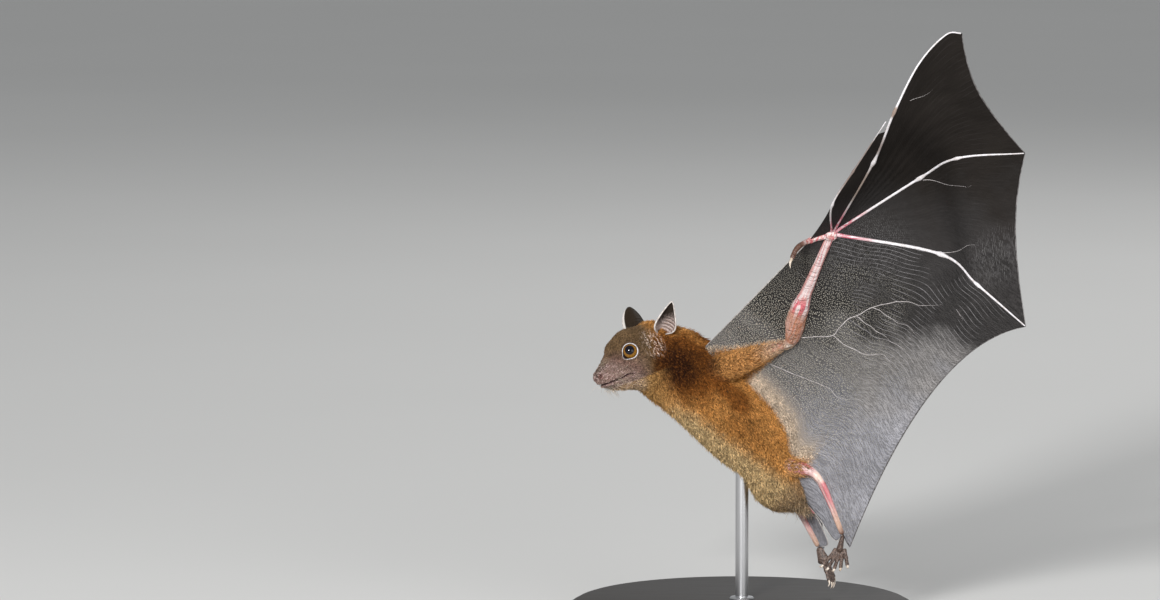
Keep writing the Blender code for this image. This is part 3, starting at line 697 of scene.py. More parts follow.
def hide_finish():
    """Skin of the furred body and the bare muzzle, with fine wrinkles and hair pores, painted highlights and
    shade on the muzzle's wrinkles, and painted shade in the mouth line and nostrils.
    """
    made, board, shader = material("hide", 0.55, Specular_IOR_Level=0.3)
    parts = place_group(board, MARKINGS)
    places = place_group(board, BODY_FRAME)
    body, head = places["Body"], places["Head"]
    pores = board.add("TexVoronoi", Vector=body, Scale=2.4).outputs["Distance"]
    wrinkle = board.noise(head, 1.0, 4.0, stretch=(0.9, 1.0, 1.7))
    grain = board.noise(body, 4.2, 2.0)
    dark = board.mix(parts["Bare"], (0.42, 0.36, 0.32), (1.0, 1.0, 1.0))
    colour = board.mix(1.0, parts["Colour"], dark, "MULTIPLY")
    # On the bare muzzle: dark blotches where the relief is low and pale streaks where the wrinkles are
    # raised, partly the skin's own mottling, partly painted shade and painted highlights.
    blotch = board.noise(head, 0.62, 3.0, rough=0.6)
    dark_patches_and_shade = board.times(board.ramp(blotch, 0.50, 0.36), parts["Bare"])
    colour = board.tint(colour, dark_patches_and_shade, (0.075, 0.045, 0.036), 0.75)
    pale_skin_and_highlight = board.times(board.ramp(wrinkle, 0.50, 0.64), parts["Bare"])
    colour = board.tint(colour, pale_skin_and_highlight, (0.66, 0.48, 0.455), 0.8)
    crease = board.times(board.ramp(pores, 0.30, 0.42), parts["Bare"])
    colour = board.tint(colour, crease, (0.07, 0.035, 0.03), 0.5)
    # Dark line of the mouth, the chin and cheek creases and the nostrils: painted shade in these creases and
    # openings.
    lips = board.ramp(attribute(board, "crease"), 0.2, 0.6)
    colour = board.mix(lips, colour, (0.035, 0.012, 0.012))
    # Brightness rises with the wrinkles' height, partly as painted light and shade on the relief, and varies
    # with a fine grain.
    gain = board.times(board.spread(wrinkle, 0.55, 1.45), board.spread(grain, 0.6, 1.4))
    board.paint(shader, board.brighten(colour, gain))
    height = board.math("ADD", board.times(wrinkle, 1.2), board.times(pores, 0.6))
    bump(board, shader, board.math("ADD", height, board.times(blotch, 1.2)), 0.55)
    return made


SKIN_PINK = (0.50, 0.25, 0.23)
SKIN_RED = (0.43, 0.075, 0.095)
SKIN_WHITE = (0.60, 0.49, 0.48)
SKIN_BROWN = (0.36, 0.15, 0.085)
SKIN_CRIMSON = (0.50, 0.09, 0.12)
SKIN_TAN = (0.42, 0.27, 0.20)
FOOT_BROWN = (0.10, 0.050, 0.034)


def streaks(board, body, start, end, scale, low, high):
    """Lengthwise streaks of a limb (0 to 1), and the distance from its start in millimetres."""
    way = unit(np.array(end) - np.array(start))
    along = board.vector("DOT_PRODUCT", board.vector("SUBTRACT", body, tuple(start)), tuple(way))
    shift = board.scaled(tuple(way * -0.94), along)
    return board.ramp(board.noise(board.vector("ADD", body, shift), scale, 2.0), low, high), along


def limb_finish():
    """Thin pink skin over muscle and bone: redder at the wrist, browner where the forearm is furred, with a
    painted highlight at the elbow and at the knee.
    """
    made, board, shader = material("limb_skin", 0.38, Specular_IOR_Level=0.4)
    body = place_group(board, BODY_FRAME)["Body"]
    forward = board.parts(body)[0]
    patchy = board.noise(body, 0.7, 3.0)
    # the forearm, from elbow to wrist
    bands, along = streaks(board, body, WING["elbow"], WING["wrist"], 0.75, 0.45, 0.58)
    arm = board.mix(bands, SKIN_WHITE, SKIN_PINK)
    fleshy = board.times(board.ramp(along, 28.0, 22.0), board.ramp(bands, 0.1, 0.9))
    arm = board.tint(arm, fleshy, SKIN_CRIMSON, 0.9)
    hairy = board.times(board.ramp(along, 22.0, 15.0), board.spread(bands, 0.72, 1.0))
    arm = board.mix(hairy, arm, SKIN_BROWN)
    thin_bands, _ = streaks(board, body, WING["elbow"], WING["wrist"], 1.1, 0.53, 0.60)
    near_wrist = board.times(board.ramp(along, 38.0, 56.0), thin_bands)
    arm = board.tint(arm, near_wrist, SKIN_RED, 0.85)
    # Painted highlight on the elbow.
    painted_elbow_highlight = board.spot(body, (8.6, 37.6, 37.6), (2.6, 4.0, 2.6))
    arm = board.tint(arm, painted_elbow_highlight, (0.72, 0.62, 0.54), 0.8)
    arm = board.mix(board.ramp(along, -2.0, -12.0), arm, skin_under_fur(board))
    thumb = board.spot(body, (32.8, 81.0, 64.5), (7.0, 7.0, 8.5))
    arm = board.mix(thumb, arm, (0.085, 0.040, 0.026))
    # the leg, from hip to ankle
    thigh_bands, _ = streaks(board, body, LEGS["left"]["hip"], LEGS["left"]["knee"], 0.55, 0.42, 0.58)
    shank_bands, _ = streaks(board, body, LEGS["left"]["knee"], LEGS["left"]["ankle"], 0.60, 0.40, 0.60)
    bands = board.mix(board.ramp(forward, -33.5, -35.5), thigh_bands, shank_bands)
    red_part = board.times(bands, board.ramp(forward, -56.0, -40.0))
    leg_skin = board.mix(board.times(red_part, 0.80), board.mix(patchy, SKIN_WHITE, SKIN_PINK), SKIN_RED)
    # Pale spot on the knee: painted highlight.
    leg_skin = board.mix(board.spot(body, (-35.2, 14.6, 11.5), (3.6, 5.0, 3.6)), leg_skin, (0.66, 0.50, 0.43))
    leg_skin = board.mix(board.ramp(forward, -44.0, -54.0), leg_skin, SKIN_TAN)
    leg_skin = board.mix(board.ramp(forward, -53.5, -57.5), leg_skin, FOOT_BROWN)
    colour = board.mix(board.ramp(forward, -8.0, -16.0), arm, leg_skin)
    grain = board.spread(board.noise(body, 2.2, 3.0), 0.72, 1.28)
    board.paint(shader, board.brighten(colour, grain))
    bump(board, shader, board.math("ADD", patchy, bands), 0.25)
    return made


def ear_finish():
    """Inside of an ear: whitish pink low down, brown grey towards the tip, with pale rims and cross ribs."""
    made, board, shader = material("ear_skin", 0.5, Specular_IOR_Level=0.1)
    places = place_group(board, BODY_FRAME)
    body, head = places["Body"], places["Head"]
    above = board.parts(head)[2]
    own = board.parts(board.coords("UV"))
    grain = board.noise(body, 1.5, 3.0)
    level = board.math("ADD", above, board.spread(grain, -3.0, 3.0))
    colour = board.mix(board.ramp(level, 6.0, 12.0), (0.45, 0.36, 0.33), (0.022, 0.016, 0.012))
    sway = board.math("MULTIPLY_ADD", grain, 5.0, board.times(own[1], 74.0))
    rib = board.math("SINE", sway)
    ribbed = board.times(board.ramp(own[1], 0.68, 0.50), board.ramp(own[1], 0.16, 0.24))
    ribbed = board.times(ribbed, board.ramp(own[0], 0.42, 0.60))
    colour = board.mix(board.times(board.ramp(rib, 0.1, 0.9), ribbed), colour, (0.25, 0.18, 0.155))
    colour = board.mix(board.ramp(own[1], 0.24, 0.15), colour, (0.10, 0.055, 0.045))
    edge = board.math("ABSOLUTE", board.math("SUBTRACT", own[0], 0.5))
    rim = board.most(board.ramp(edge, 0.47, 0.495), board.ramp(own[1], 0.975, 0.995))
    board.paint(shader, board.mix(rim, colour, (0.55, 0.50, 0.46)))
    bump(board, shader, board.math("ADD", grain, board.times(rib, ribbed)), 0.25)
    return made


def ear_back_finish():
    """Back of an ear: dark brown, made darker still as painted shade, with a pale front edge."""
    made, board, shader = material("ear_back", 0.6, Specular_IOR_Level=0.08)
    mottle = board.noise(place_group(board, BODY_FRAME)["Body"], 1.2, 4.0)
    edge = board.parts(board.coords("UV"))[0]
    # Dark brown, made darker still as painted shade.
    colour = board.mix(mottle, (0.010, 0.007, 0.004), (0.032, 0.021, 0.013))
    colour = board.mix(board.ramp(edge, 0.15, 0.09), colour, (0.62, 0.58, 0.54))
    board.paint(shader, colour)
    bump(board, shader, mottle, 0.15)
    return made


def plain_finish(name, colour, other, scale, depth, roughness):
    """A mottled finish of two colours with a fine relief."""
    made, board, shader = material(name, roughness)
    body = place_group(board, BODY_FRAME)["Body"]
    mottle = board.noise(body, scale, 4.0)
    board.paint(shader, board.mix(board.ramp(mottle, 0.35, 0.65), colour, other))
    bump(board, shader, mottle, depth)
    return made


def finger_finish():
    """Cream skin over the finger bones, with red sinews that run out from the wrist."""
    made, board, shader = material("finger_skin", 0.34, Specular_IOR_Level=0.4)
    body = place_group(board, BODY_FRAME)["Body"]
    forward = board.parts(body)[0]
    mottle = board.noise(body, 0.8, 3.0)
    colour = board.mix(board.ramp(mottle, 0.3, 0.7), (0.48, 0.44, 0.43), (0.66, 0.64, 0.67))
    from_wrist = board.vector("SUBTRACT", body, WING["wrist"])
    reach = board.vector("LENGTH", from_wrist)
    rays = board.noise(board.vector("NORMALIZE", from_wrist), 22.0, 2.0)
    red = board.times(board.ramp(rays, 0.42, 0.50), board.ramp(reach, 20.0, 7.0))
    colour = board.tint(colour, red, (0.42, 0.045, 0.085), 0.9)
    first_bone = board.spot(body, (35.5, 99.0, 98.0), (9.0, 16.0, 17.0))
    colour = board.tint(colour, first_bone, (0.15, 0.098, 0.066), 0.85)
    brown_knob = board.spot(body, (44.3, 128.1, 125.2), (3.0, 3.0, 3.0), 0.5)
    colour = board.tint(colour, brown_knob, (0.17, 0.105, 0.07), 0.85)
    leading = board.times(board.ramp(forward, 36.5, 38.5), board.ramp(reach, 58.0, 50.0))
    colour = board.tint(colour, leading, (0.12, 0.075, 0.055), 0.8)
    board.paint(shader, colour)
    bump(board, shader, mottle, 0.15)
    return made


# Wing skin colours from the top down: the lighter lower ones are partly the skin's own tone and partly
# painted sheen.
WEB_TOP = (0.0125, 0.0105, 0.0092)
WEB_HIGH = (0.027, 0.025, 0.0245)
WEB_MID = (0.190, 0.180, 0.176)
WEB_LOW = (0.272, 0.269, 0.292)
DOT_PALE = (0.46, 0.43, 0.365)
FIBRE_PALE = (0.42, 0.40, 0.41)


def web_group():
    """Thin wing skin, read in millimetres across a piece: pale dots, pale fibres, fine crepe, bright crinkles
    (painted highlights on fine ridges) and a height."""
    tree, board, start, end = group("web_crepe", (("Across", "Vector"),),
                                    (("Dots", "Float"), ("Fibres", "Float"), ("Folds", "Float"),
                                     ("Crinkle", "Float"), ("Height", "Float")))
    across = start.outputs[0]
    swayed = board.vector("ADD", across, board.wander(across, 5.0, Scale=0.045, Detail=0.0))
    crepe = board.noise(swayed, 1.0, 2.0, stretch=(2.3, 0.26, 1.0))
    cells = board.add("TexVoronoi", {"voronoi_dimensions": "2D"}, Vector=across, Scale=1.0,
                      Randomness=0.75).outputs["Distance"]
    slant = board.vector("DOT_PRODUCT", swayed, (1.0, 0.05, 0.0))
    line = board.math("PINGPONG", board.times(slant, 0.55), 0.5)
    broken = board.ramp(board.noise(across, 0.06, 2.0), 0.40, 0.56)
    wander = board.times(board.noise(across, 0.21, 3.0), 4.2)
    down = board.parts(across)[1]
    row = board.math("PINGPONG", board.math("MULTIPLY_ADD", down, 1.35, wander), 0.5)
    gaps = board.ramp(board.noise(across, 1.0, 2.0, stretch=(0.7, 0.6, 1.0)), 0.42, 0.56)
    dots = board.ramp(cells, 0.34, 0.12)
    fibres = board.times(board.ramp(line, 0.075, 0.0), broken)
    folds = board.ramp(crepe, 0.34, 0.66)
    crinkle = board.times(board.ramp(row, 0.22, 0.02), gaps)
    board.wire(end.inputs["Dots"], dots)
    board.wire(end.inputs["Fibres"], fibres)
    board.wire(end.inputs["Folds"], folds)
    board.wire(end.inputs["Crinkle"], crinkle)
    board.wire(end.inputs["Height"], board.math("ADD", board.times(folds, 0.6), dots))
    return tree


WEB_CREPE = web_group()


def web_finish(name, size, fibre, dots, specular, furred=False):
    """Wing skin: dark grey towards the hand, lighter and dotted with short pale hair near the body; the
    lightening towards the lower parts is partly painted sheen.
    """
    made, board, shader = material(name, 0.48, Specular_IOR_Level=specular)
    own = board.vector("MULTIPLY", board.coords("UV"), (*size, 1.0))
    body = place_group(board, BODY_FRAME)["Body"]
    warp = board.spread(board.noise(body, 0.05, 3.0), -0.03, 0.03)
    sideways, _, height = board.parts(board.coords("Object"))
    level, outward = board.math("ADD", height, warp), board.math("ADD", sideways, warp)
    crepe = place_group(board, WEB_CREPE, Across=own)
    # Dark at the top and lighter lower down, by height: partly the skin's own tone, partly painted sheen.
    colour = board.mix(board.ramp(level, 0.188, 0.150), WEB_TOP, WEB_HIGH)
    colour = board.mix(board.ramp(level, 0.127, 0.105), colour, WEB_MID)
    colour = board.mix(board.times(board.ramp(level, 0.106, 0.080), board.ramp(outward, 0.000, 0.030)),
                       colour, WEB_LOW)
    low_fade = board.spread(board.ramp(level, 0.062, 0.090), 0.35, 1.0)
    near_body = board.times(board.ramp(outward, 0.070, 0.030),
                            board.times(board.ramp(level, 0.152, 0.128), low_fade))
    relief = board.spread(board.ramp(level, 0.172, 0.125), 0.3, 1.0)
    streak = board.math("MULTIPLY_ADD", board.spread(crepe["Folds"], -0.26, 0.26), relief, 1.0)
    cloudy = board.ramp(board.noise(body, 0.05, 2.0), 0.3, 0.7)
    gain = board.times(streak, board.spread(cloudy, 0.86, 1.14))
    gain = board.times(gain, board.spread(near_body, 1.0, 0.58))
    colour = board.brighten(colour, gain)
    dotted = board.times(board.times(crepe["Dots"], near_body), dots)
    colour = board.mix(dotted, colour, DOT_PALE)
    # Bright lines of fine crinkles under the wrist and by the fifth finger: painted highlights on the
    # crinkles' ridges.
    under_wrist = board.most(board.spot(body, (14.0, 76.0, 80.0), (23.0, 32.0, 27.0)),
                             board.times(board.spot(body, (-20.0, 98.0, 116.0), (14.0, 20.0, 18.0)), 0.7))
    crinkled = board.times(crepe["Crinkle"], under_wrist)
    colour = board.tint(colour, crinkled, (0.20, 0.193, 0.193), 0.6)
    spread_fibres = board.times(crepe["Fibres"], board.times(board.ramp(outward, 0.020, 0.045),
                                                             board.ramp(outward, 0.100, 0.080)))
    colour = board.mix(board.times(spread_fibres, fibre), colour, FIBRE_PALE)
    if furred:
        flank, down, _ = board.parts(own)
        above_hip = board.ramp(down, 68.0, 58.0)
        strip = board.times(board.ramp(flank, 17.0, 7.0), above_hip)
        colour = board.tint(colour, strip, (0.36, 0.295, 0.235), 0.9)
        armpit = board.ramp(board.math("MULTIPLY_ADD", flank, 0.37, down), 14.0, 11.0)
        hair = board.most(armpit, board.times(board.ramp(flank, 7.0, 5.0), above_hip))
        colour = board.mix(hair, colour, skin_under_fur(board))
    board.paint(shader, colour)
    bump(board, shader, board.times(crepe["Height"], relief), 0.16)
    return made


def eye_finish(side, sign):
    """Large dark pupil, amber iris with fine rays, dark rim, under a wet surface."""
    made, board, shader = material("eye_" + side, 0.5, Coat_Weight=1.0, Coat_Roughness=0.03, Coat_IOR=1.34,
                                   Specular_IOR_Level=0.0)
    centre, axis = eye_frame(sign)
    way = board.vector("SUBTRACT", board.coords("Object"), tuple(world(centre)))
    way = board.vector("NORMALIZE", way)
    facing = board.vector("DOT_PRODUCT", way, tuple(TURN @ axis))
    turn = board.math("ARCCOSINE", facing)
    gaze = unit(axis + HEAD_AXES[0] * 0.06 + HEAD_AXES[2] * 0.16)
    pupil_turn = board.math("ARCCOSINE", board.vector("DOT_PRODUCT", way, tuple(TURN @ gaze)))
    rays = board.noise(way, 9.0, 4.0)
    iris = board.mix(board.ramp(rays, 0.3, 0.7), (0.10, 0.042, 0.004), (0.28, 0.135, 0.015))
    iris = board.mix(board.ramp(pupil_turn, 0.64, 0.55), iris, (0.10, 0.040, 0.006))
    iris = board.mix(board.ramp(turn, 0.74, 0.92), iris, (0.07, 0.026, 0.006))
    colour = board.mix(board.ramp(pupil_turn, 0.52, 0.55), (0.003, 0.003, 0.006), iris)
    colour = board.mix(board.ramp(turn, 0.88, 0.93), colour, (0.008, 0.005, 0.005))
    board.paint(shader, colour)
    return made


def stand_finish():
    """Black stained wood with a satin varnish."""
    made, board, shader = material("stand_wood", 0.5, Specular_IOR_Level=0.3)
    spot = board.coords("Object")
    grain = board.noise(spot, 60.0, 5.0, stretch=(1.0, 14.0, 1.0))
    board.paint(shader, board.mix(grain, (0.012, 0.011, 0.010), (0.045, 0.038, 0.032)))
    board.wire(shader.inputs["Roughness"], board.spread(grain, 0.42, 0.62))
    bump(board, shader, grain, 0.08)
    return made


def steel_finish():
    """Brushed round steel."""
    made, board, shader = material("rod_steel", 0.3, Metallic=1.0)
    spot = board.coords("Object")
    lines = board.noise(spot, 900.0, 2.0, stretch=(1.0, 1.0, 0.02))
    board.paint(shader, board.mix(lines, (0.42, 0.42, 0.43), (0.66, 0.66, 0.67)))
    board.wire(shader.inputs["Roughness"], board.spread(lines, 0.22, 0.42))
    return made


def floor_finish():
    """Pale studio floor."""
    made, board, shader = material("pale_floor", 0.8)
    spot = board.coords("Object")
    cloud = board.noise(spot, 3.0, 2.0)
    board.paint(shader, board.mix(cloud, (0.60, 0.595, 0.58), (0.63, 0.625, 0.61)))
    return made


# ---- trunk, neck and head: one skin under the coat
BODY_RINGS = 250
BODY_SEGMENTS = 144
CAP_RUMP = 0.02             # shares of the rings that close the two ends
CAP_NOSE = 0.985
# how the rings are shared out along the chain: dense on the head
RING_SHARES = ((0.0, 0.0), (CAP_RUMP, 0.0), (0.30, NECK_PLACE), (0.38, HEAD_PLACE), (CAP_NOSE, NOSE_PLACE),
               (1.0, NOSE_PLACE))
# depth of the coat between the skin and the tips, along the chain
COAT_DEPTH = ((0, 0.3), (1, 1.1), (2, 1.7), (4, 2.0), (8, 2.0), (10, 1.8), (11, 1.5), (12, 1.2), (13.5, 0.85),
              (15, 0.6), (16.5, 0.38), (18, 0.2), (21, 0.08))
MOUTH = ((-0.5, -4.6), (-4.6, -4.6), (-7.4, -4.7), (-9.3, -4.25), (-10.5, -4.15), (-11.8, -4.8))
CHIN = ((-1.0, -6.3), (-3.0, -7.0), (-5.4, -6.8), (-7.2, -6.6), (-9.2, -7.1))
CHEEK = ((-11.5, 0.9), (-13.5, 0.2), (-16.0, 0.3), (-18.5, 0.0))
LID_RADIUS = 2.95
LID_BALL = 3.62
LID_SLOPE = 5.6
LID_WIDEST = 3.5
# what rises (or sinks, below 0) on the face: amount, place in the head's own frame and radius
FACE_LUMPS = (
    (0.75, (-0.9, 1.7, -0.9), 1.25),
    (-1.5, NOSTRIL, 0.62),
    (0.45, (-14.5, 7.0, 8.4), 3.0),
    (0.40, (-14.0, 9.0, -5.0), 4.2),
    (-0.45, (-8.6, 5.5, 1.0), 2.6),
    (-0.30, (-9.5, 6.0, -8.2), 2.4),
)


def chain_table():
    """All rings from rump to nose: lower edges, upper edges, half widths and side directions."""
    lower, upper, widths, sides = [], [], [], []
    left = np.array((0.0, 1.0, 0.0))
    for low, high, width, shift, turned in TRUNK_RINGS:
        lower.append((low[0], shift, low[1]))
        upper.append((high[0], shift, high[1]))
        widths.append(width)
        sides.append(unit(left * (1 - turned) + HEAD_AXES[1] * turned))
    for low, high, width in HEAD_RINGS:
        lower.append(on_head((low[0], 0, low[1])))
        upper.append(on_head((high[0], 0, high[1])))
        widths.append(width)
        sides.append(unit(HEAD_AXES[1]))
    return np.array(lower), np.array(upper), np.array(widths), np.array(sides)


LOWER, UPPER, WIDTHS, SIDEWAYS = chain_table()


def shell(place, angle):
    """The coat's outer surface at places along the chain and angles round it."""
    low, high = spline(LOWER, place), spline(UPPER, place)
    half = (high - low) / 2
    side = unit(spline(SIDEWAYS, place))
    across, tall = np.cos(angle), np.sin(angle)
    full = (np.abs(across) ** SQUARE + np.abs(tall) ** SQUARE) ** (1 / SQUARE)
    width = spline(WIDTHS, place) * across / full
    return (low + high) / 2 + side * width[..., None] + half * (tall / full)[..., None]


def grid_normals(points, wrap):
    """Outward normals of a grid of points, rows along and columns round."""
    along = np.gradient(points, axis=0)
    if wrap:
        round_it = np.roll(points, -1, axis=1) - np.roll(points, 1, axis=1)
    else:
        round_it = np.gradient(points, axis=1)
    return unit(np.cross(round_it, along))


def eye_frame(sign):
    """An eye's centre and the direction in which it looks."""
    centre = on_head((EYE_PLACE[0], EYE_PLACE[1] * sign, EYE_PLACE[2]))
    look = unit(np.array((0.36, 0.92 * sign, 0.16)) @ HEAD_AXES)
    return centre, look


def distance_to_line(across, up, line):
    """Distance in a plane from many points to a bent line."""
    best = np.full(across.shape, 1e9)
    for (ax, ay), (bx, by) in zip(line, line[1:]):
        run, rise = bx - ax, by - ay
        t = np.clip(((across - ax) * run + (up - ay) * rise) / (run ** 2 + rise ** 2), 0, 1)
        best = np.minimum(best, np.hypot(across - ax - t * run, up - ay - t * rise))
    return best


def ball_of(points, centre, radius):
    """1 at a centre, and 0 beyond about twice the radius."""
    return np.exp(-((points - np.array(centre)) ** 2).sum(-1) / radius ** 2)


def face_relief(points):
    """Mouth, lips, nostrils, brows and cheeks: how far the skin is raised, by its place on the head."""
    head = in_head(points)
    head[..., 1] = np.abs(head[..., 1])
    behind, left, above = np.moveaxis(head, -1, 0)
    line = distance_to_line(behind, above, MOUTH)
    upper = above > -5.0
    raised = -0.75 * hump(line, 0, 0.30) + np.where(upper, 0.30, 0.26) * hump(line, 0.9, 0.55)
    raised = raised - 0.30 * hump(distance_to_line(behind, above, CHIN), 0, 0.35)
    raised = raised - 0.22 * hump(distance_to_line(behind, above, CHEEK), 0, 0.5)
    lumps = (np.sin(2.6 * behind + 1.1 * above) * np.sin(2.9 * above - 1.4 * left)
             + 0.7 * np.sin(4.3 * behind - 2.2 * left) * np.sin(3.9 * above + 1.7 * behind))
    raised = raised + 0.12 * lumps * soft_step(-17.0, -9.0, behind)
    middle = soft_step(-4.5, -2.0, behind) * soft_step(-4.6, -3.6, above)
    raised = raised - 0.45 * hump(left, 0, 0.4) * middle
    for amount, centre, radius in FACE_LUMPS:
        raised = raised + amount * ball_of(head, centre, radius)
    return raised


def mouth_crease(points):
    """Where painted shade goes: 1 in the dark line of the mouth and in the nostrils, less in the chin and
    cheek creases, 0 on the rest of the skin.
    """
    head = in_head(points)
    behind, left, above = head[:, 0], np.abs(head[:, 1]), head[:, 2]
    inside = ball_of(np.stack([behind, left, above], axis=-1), NOSTRIL, 0.55)
    line = hump(distance_to_line(behind, above, MOUTH), 0, 0.30)
    front = soft_step(-14.0, -12.5, behind)
    chin = 0.45 * hump(distance_to_line(behind, above, CHIN), 0, 0.25)
    cheek = 0.35 * hump(distance_to_line(behind, above, CHEEK), 0, 0.3) * soft_step(-20.0, -18.0, behind)
    return np.maximum(np.maximum(line, chin) * front, np.maximum(inside, cheek))


def lid_radius(around):
    """Radius of the lids' opening, with a corner towards the nose (around is 0 there)."""
    return LID_RADIUS + 0.75 * np.exp(-(around / 0.42) ** 2)


def lid_height(opening):
    """How far out from the eye's centre the lids' opening lies."""
    return np.sqrt(LID_BALL ** 2 - np.minimum(opening, LID_WIDEST) ** 2)


def eye_axes(sign):
    """An eye's centre, and its directions: out, towards the front corner, and square to both."""
    centre, out = eye_frame(sign)
    corner = np.array((0.86, 0.0, -0.42)) @ HEAD_AXES
    corner = unit(corner - out * (corner @ out))
    return centre, out, corner, np.cross(out, corner)


def shape_sockets(points):
    """Lead the skin up to the lids round each eye, and in behind the eyeball."""
    for _, sign in SIDES:
        centre, out, corner, third = eye_axes(sign)
        offset = points - centre
        height = offset @ out
        x, y = offset @ corner, offset @ third
        reach = np.hypot(x, y)
        opening = lid_radius(np.arctan2(y, x))
        rim = lid_height(opening)
        inside = np.sqrt(np.maximum(3.1 ** 2 - reach ** 2, 0.3))
        slope = soft_step(opening, LID_SLOPE, reach)
        target = np.where(reach < opening, np.minimum(inside, rim - 0.1), rim * (1 - slope) + height * slope)
        near = (reach < LID_SLOPE) & (height > 0)
        points = points + out * np.where(near, target - height, 0.0)[..., None]
    return points


def body_grid():
    """Rows of skin points from rump to nose, and their normals."""
    share = (np.arange(1, BODY_RINGS) / BODY_RINGS)[:, None] * np.ones(BODY_SEGMENTS)
    angle = 2 * math.pi * np.arange(BODY_SEGMENTS) / BODY_SEGMENTS * np.ones((BODY_RINGS - 1, 1))
    place = table(RING_SHARES, share)
    points = shell(place, angle)
    for end, middle_place, outward in ((share < CAP_RUMP, 0.0, -1), (share > CAP_NOSE, NOSE_PLACE, 1)):
        centre = (spline(LOWER, middle_place) + spline(UPPER, middle_place)) / 2
        ahead = unit(np.cross(spline(SIDEWAYS, middle_place), spline(UPPER, middle_place)
                              - spline(LOWER, middle_place))) * outward
        to_end = share / CAP_RUMP if outward < 0 else (1 - share) / (1 - CAP_NOSE)
        size = np.sin(to_end * math.pi / 2)[..., None]
        bulge = 0.9 * np.cos(to_end * math.pi / 2)[..., None]
        points = np.where(end[..., None], centre + (points - centre) * size + ahead * bulge, points)
    normals = grid_normals(points, True)
    skin = points - normals * table(COAT_DEPTH, place)[..., None]
    skin = skin + normals * face_relief(skin)[..., None]
    skin = shape_sockets(skin)
    return skin, grid_normals(skin, True), place, angle


BODY_SKIN, BODY_OUT, BODY_PLACE, BODY_ANGLE = body_grid()


def body_place(share, angle):
    """The body's points for a ball primitive with the same rings and segments."""
    row = np.clip(np.rint(share * BODY_RINGS).astype(int) - 1, 0, BODY_RINGS - 2)
    column = np.rint(angle / (2 * math.pi) * BODY_SEGMENTS).astype(int) % BODY_SEGMENTS
    points = BODY_SKIN[row, column]
    for end, centre in ((share < 1e-6, BODY_SKIN[0].mean(0)), (share > 1 - 1e-6, BODY_SKIN[-1].mean(0))):
        points = np.where(end[:, None], centre, points)
    return points


def lid(side, sign, finish_of_lid):
    """The two lids of an eye as one soft rim."""
    centre, out, corner, third = eye_axes(sign)
    thing = added(bpy.ops.mesh.primitive_torus_add, "lid_" + side, major_segments=72, minor_segments=14,
                  major_radius=1.0, minor_radius=0.2)
    co = points_of(thing.data)
    around = np.arctan2(co[:, 1], co[:, 0])
    turn = np.arctan2(co[:, 2], np.hypot(co[:, 0], co[:, 1]) - 1.0)
    reach = lid_radius(around)
    height = lid_height(reach)
    thick = 0.19 + 0.04 * np.cos(around - 2.0 * sign)
    away = np.cos(around)[:, None] * corner + np.sin(around)[:, None] * third
    points = (centre + away * (reach + thick * np.cos(turn))[:, None]
              + out * (height - 0.06 + thick * np.sin(turn))[:, None])
    move_points(thing.data, points)
    return finish(thing, finish_of_lid)


def eyeball(side, sign):
    """An eyeball with a slightly bulging front."""
    centre, out, corner, third = eye_axes(sign)

    def place(share, angle):
        turn = share * math.pi
        radius = EYE_RADIUS - 0.12 + 0.12 * np.exp(-(turn / 0.7) ** 2)
        ring = (np.cos(angle)[:, None] * corner + np.sin(angle)[:, None] * third) * np.sin(turn)[:, None]
        return centre + (ring + out * np.cos(turn)[:, None]) * radius[:, None]
    return shaped_ball("eyeball_" + side, 48, 40, place, eye_finish(side, sign))


# ---- ears
EAR_ROOT = -0.14            # how far the leaf goes on inside the head
EAR_ROLL = 120.0            # half the angle through which its foot is rolled, in degrees
EAR_UNROLL = 66.0           # and how much less that is at its tip
EAR_OUTLINES = {
    "left": ((0, 0.26), (0.1, 0.52), (0.2, 0.84), (0.3, 1.02), (0.4, 1.04), (0.5, 0.95), (0.6, 0.80),
             (0.7, 0.64), (0.8, 0.47), (0.9, 0.29), (0.96, 0.17), (1, 0.06)),
    "right": ((0, 0.34), (0.1, 0.60), (0.2, 0.90), (0.3, 1.04), (0.4, 1.10), (0.5, 1.10), (0.6, 1.06),
              (0.7, 0.98), (0.8, 0.84), (0.9, 0.62), (0.96, 0.42), (1, 0.16)),
}
EAR_OPENINGS = {"left": (0.30, 0.95), "right": (-0.20, 0.98)}
EAR_RIM = ((0, 0.2), (0.08, 0.34), (0.3, 0.34), (0.46, 0.22), (0.9, 0.18), (1, 0.16))


def ear_leaf(side, sign):
    """place(u, v) of an ear: a leaf rolled into a tube at its foot and open towards its tip."""
    base = on_head((EAR_BASE[0], EAR_BASE[1] * sign, EAR_BASE[2]))
    tip = on_head((EAR_TIP[0], EAR_TIP[1] * sign, EAR_TIP[2]))
    rise = tip - base
    ahead, out = EAR_OPENINGS[side]
    opening = HEAD_AXES[0] * ahead + HEAD_AXES[1] * (out * sign)
    opening = unit(opening - rise * (opening @ rise) / (rise @ rise))
    across = np.cross(unit(rise), opening)

    def place(u, v):
        v = EAR_ROOT + (1 - EAR_ROOT) * v
        up = np.clip(v, 0, 1)
        half_angle = np.radians(EAR_ROLL - EAR_UNROLL * up ** 0.7)
        width = EAR_WIDTH / 2 * table(EAR_OUTLINES[side], up)
        radius = width / np.sin(np.minimum(half_angle, math.pi / 2))
        angle = half_angle * (2 * u - 1) * sign
        ridges = (0.13 * np.sin(v * 62) * soft_step(0.05, 0.2, up) * soft_step(0.75, 0.5, up)
                  * hump(u, 0.72, 0.22))
        depth = radius * (1 - np.cos(angle)) - 0.3 * EAR_WIDTH * (1 - up) + ridges
        return (base + rise * v[:, None] + across * (radius * np.sin(angle))[:, None]
                + opening * depth[:, None])
    return place


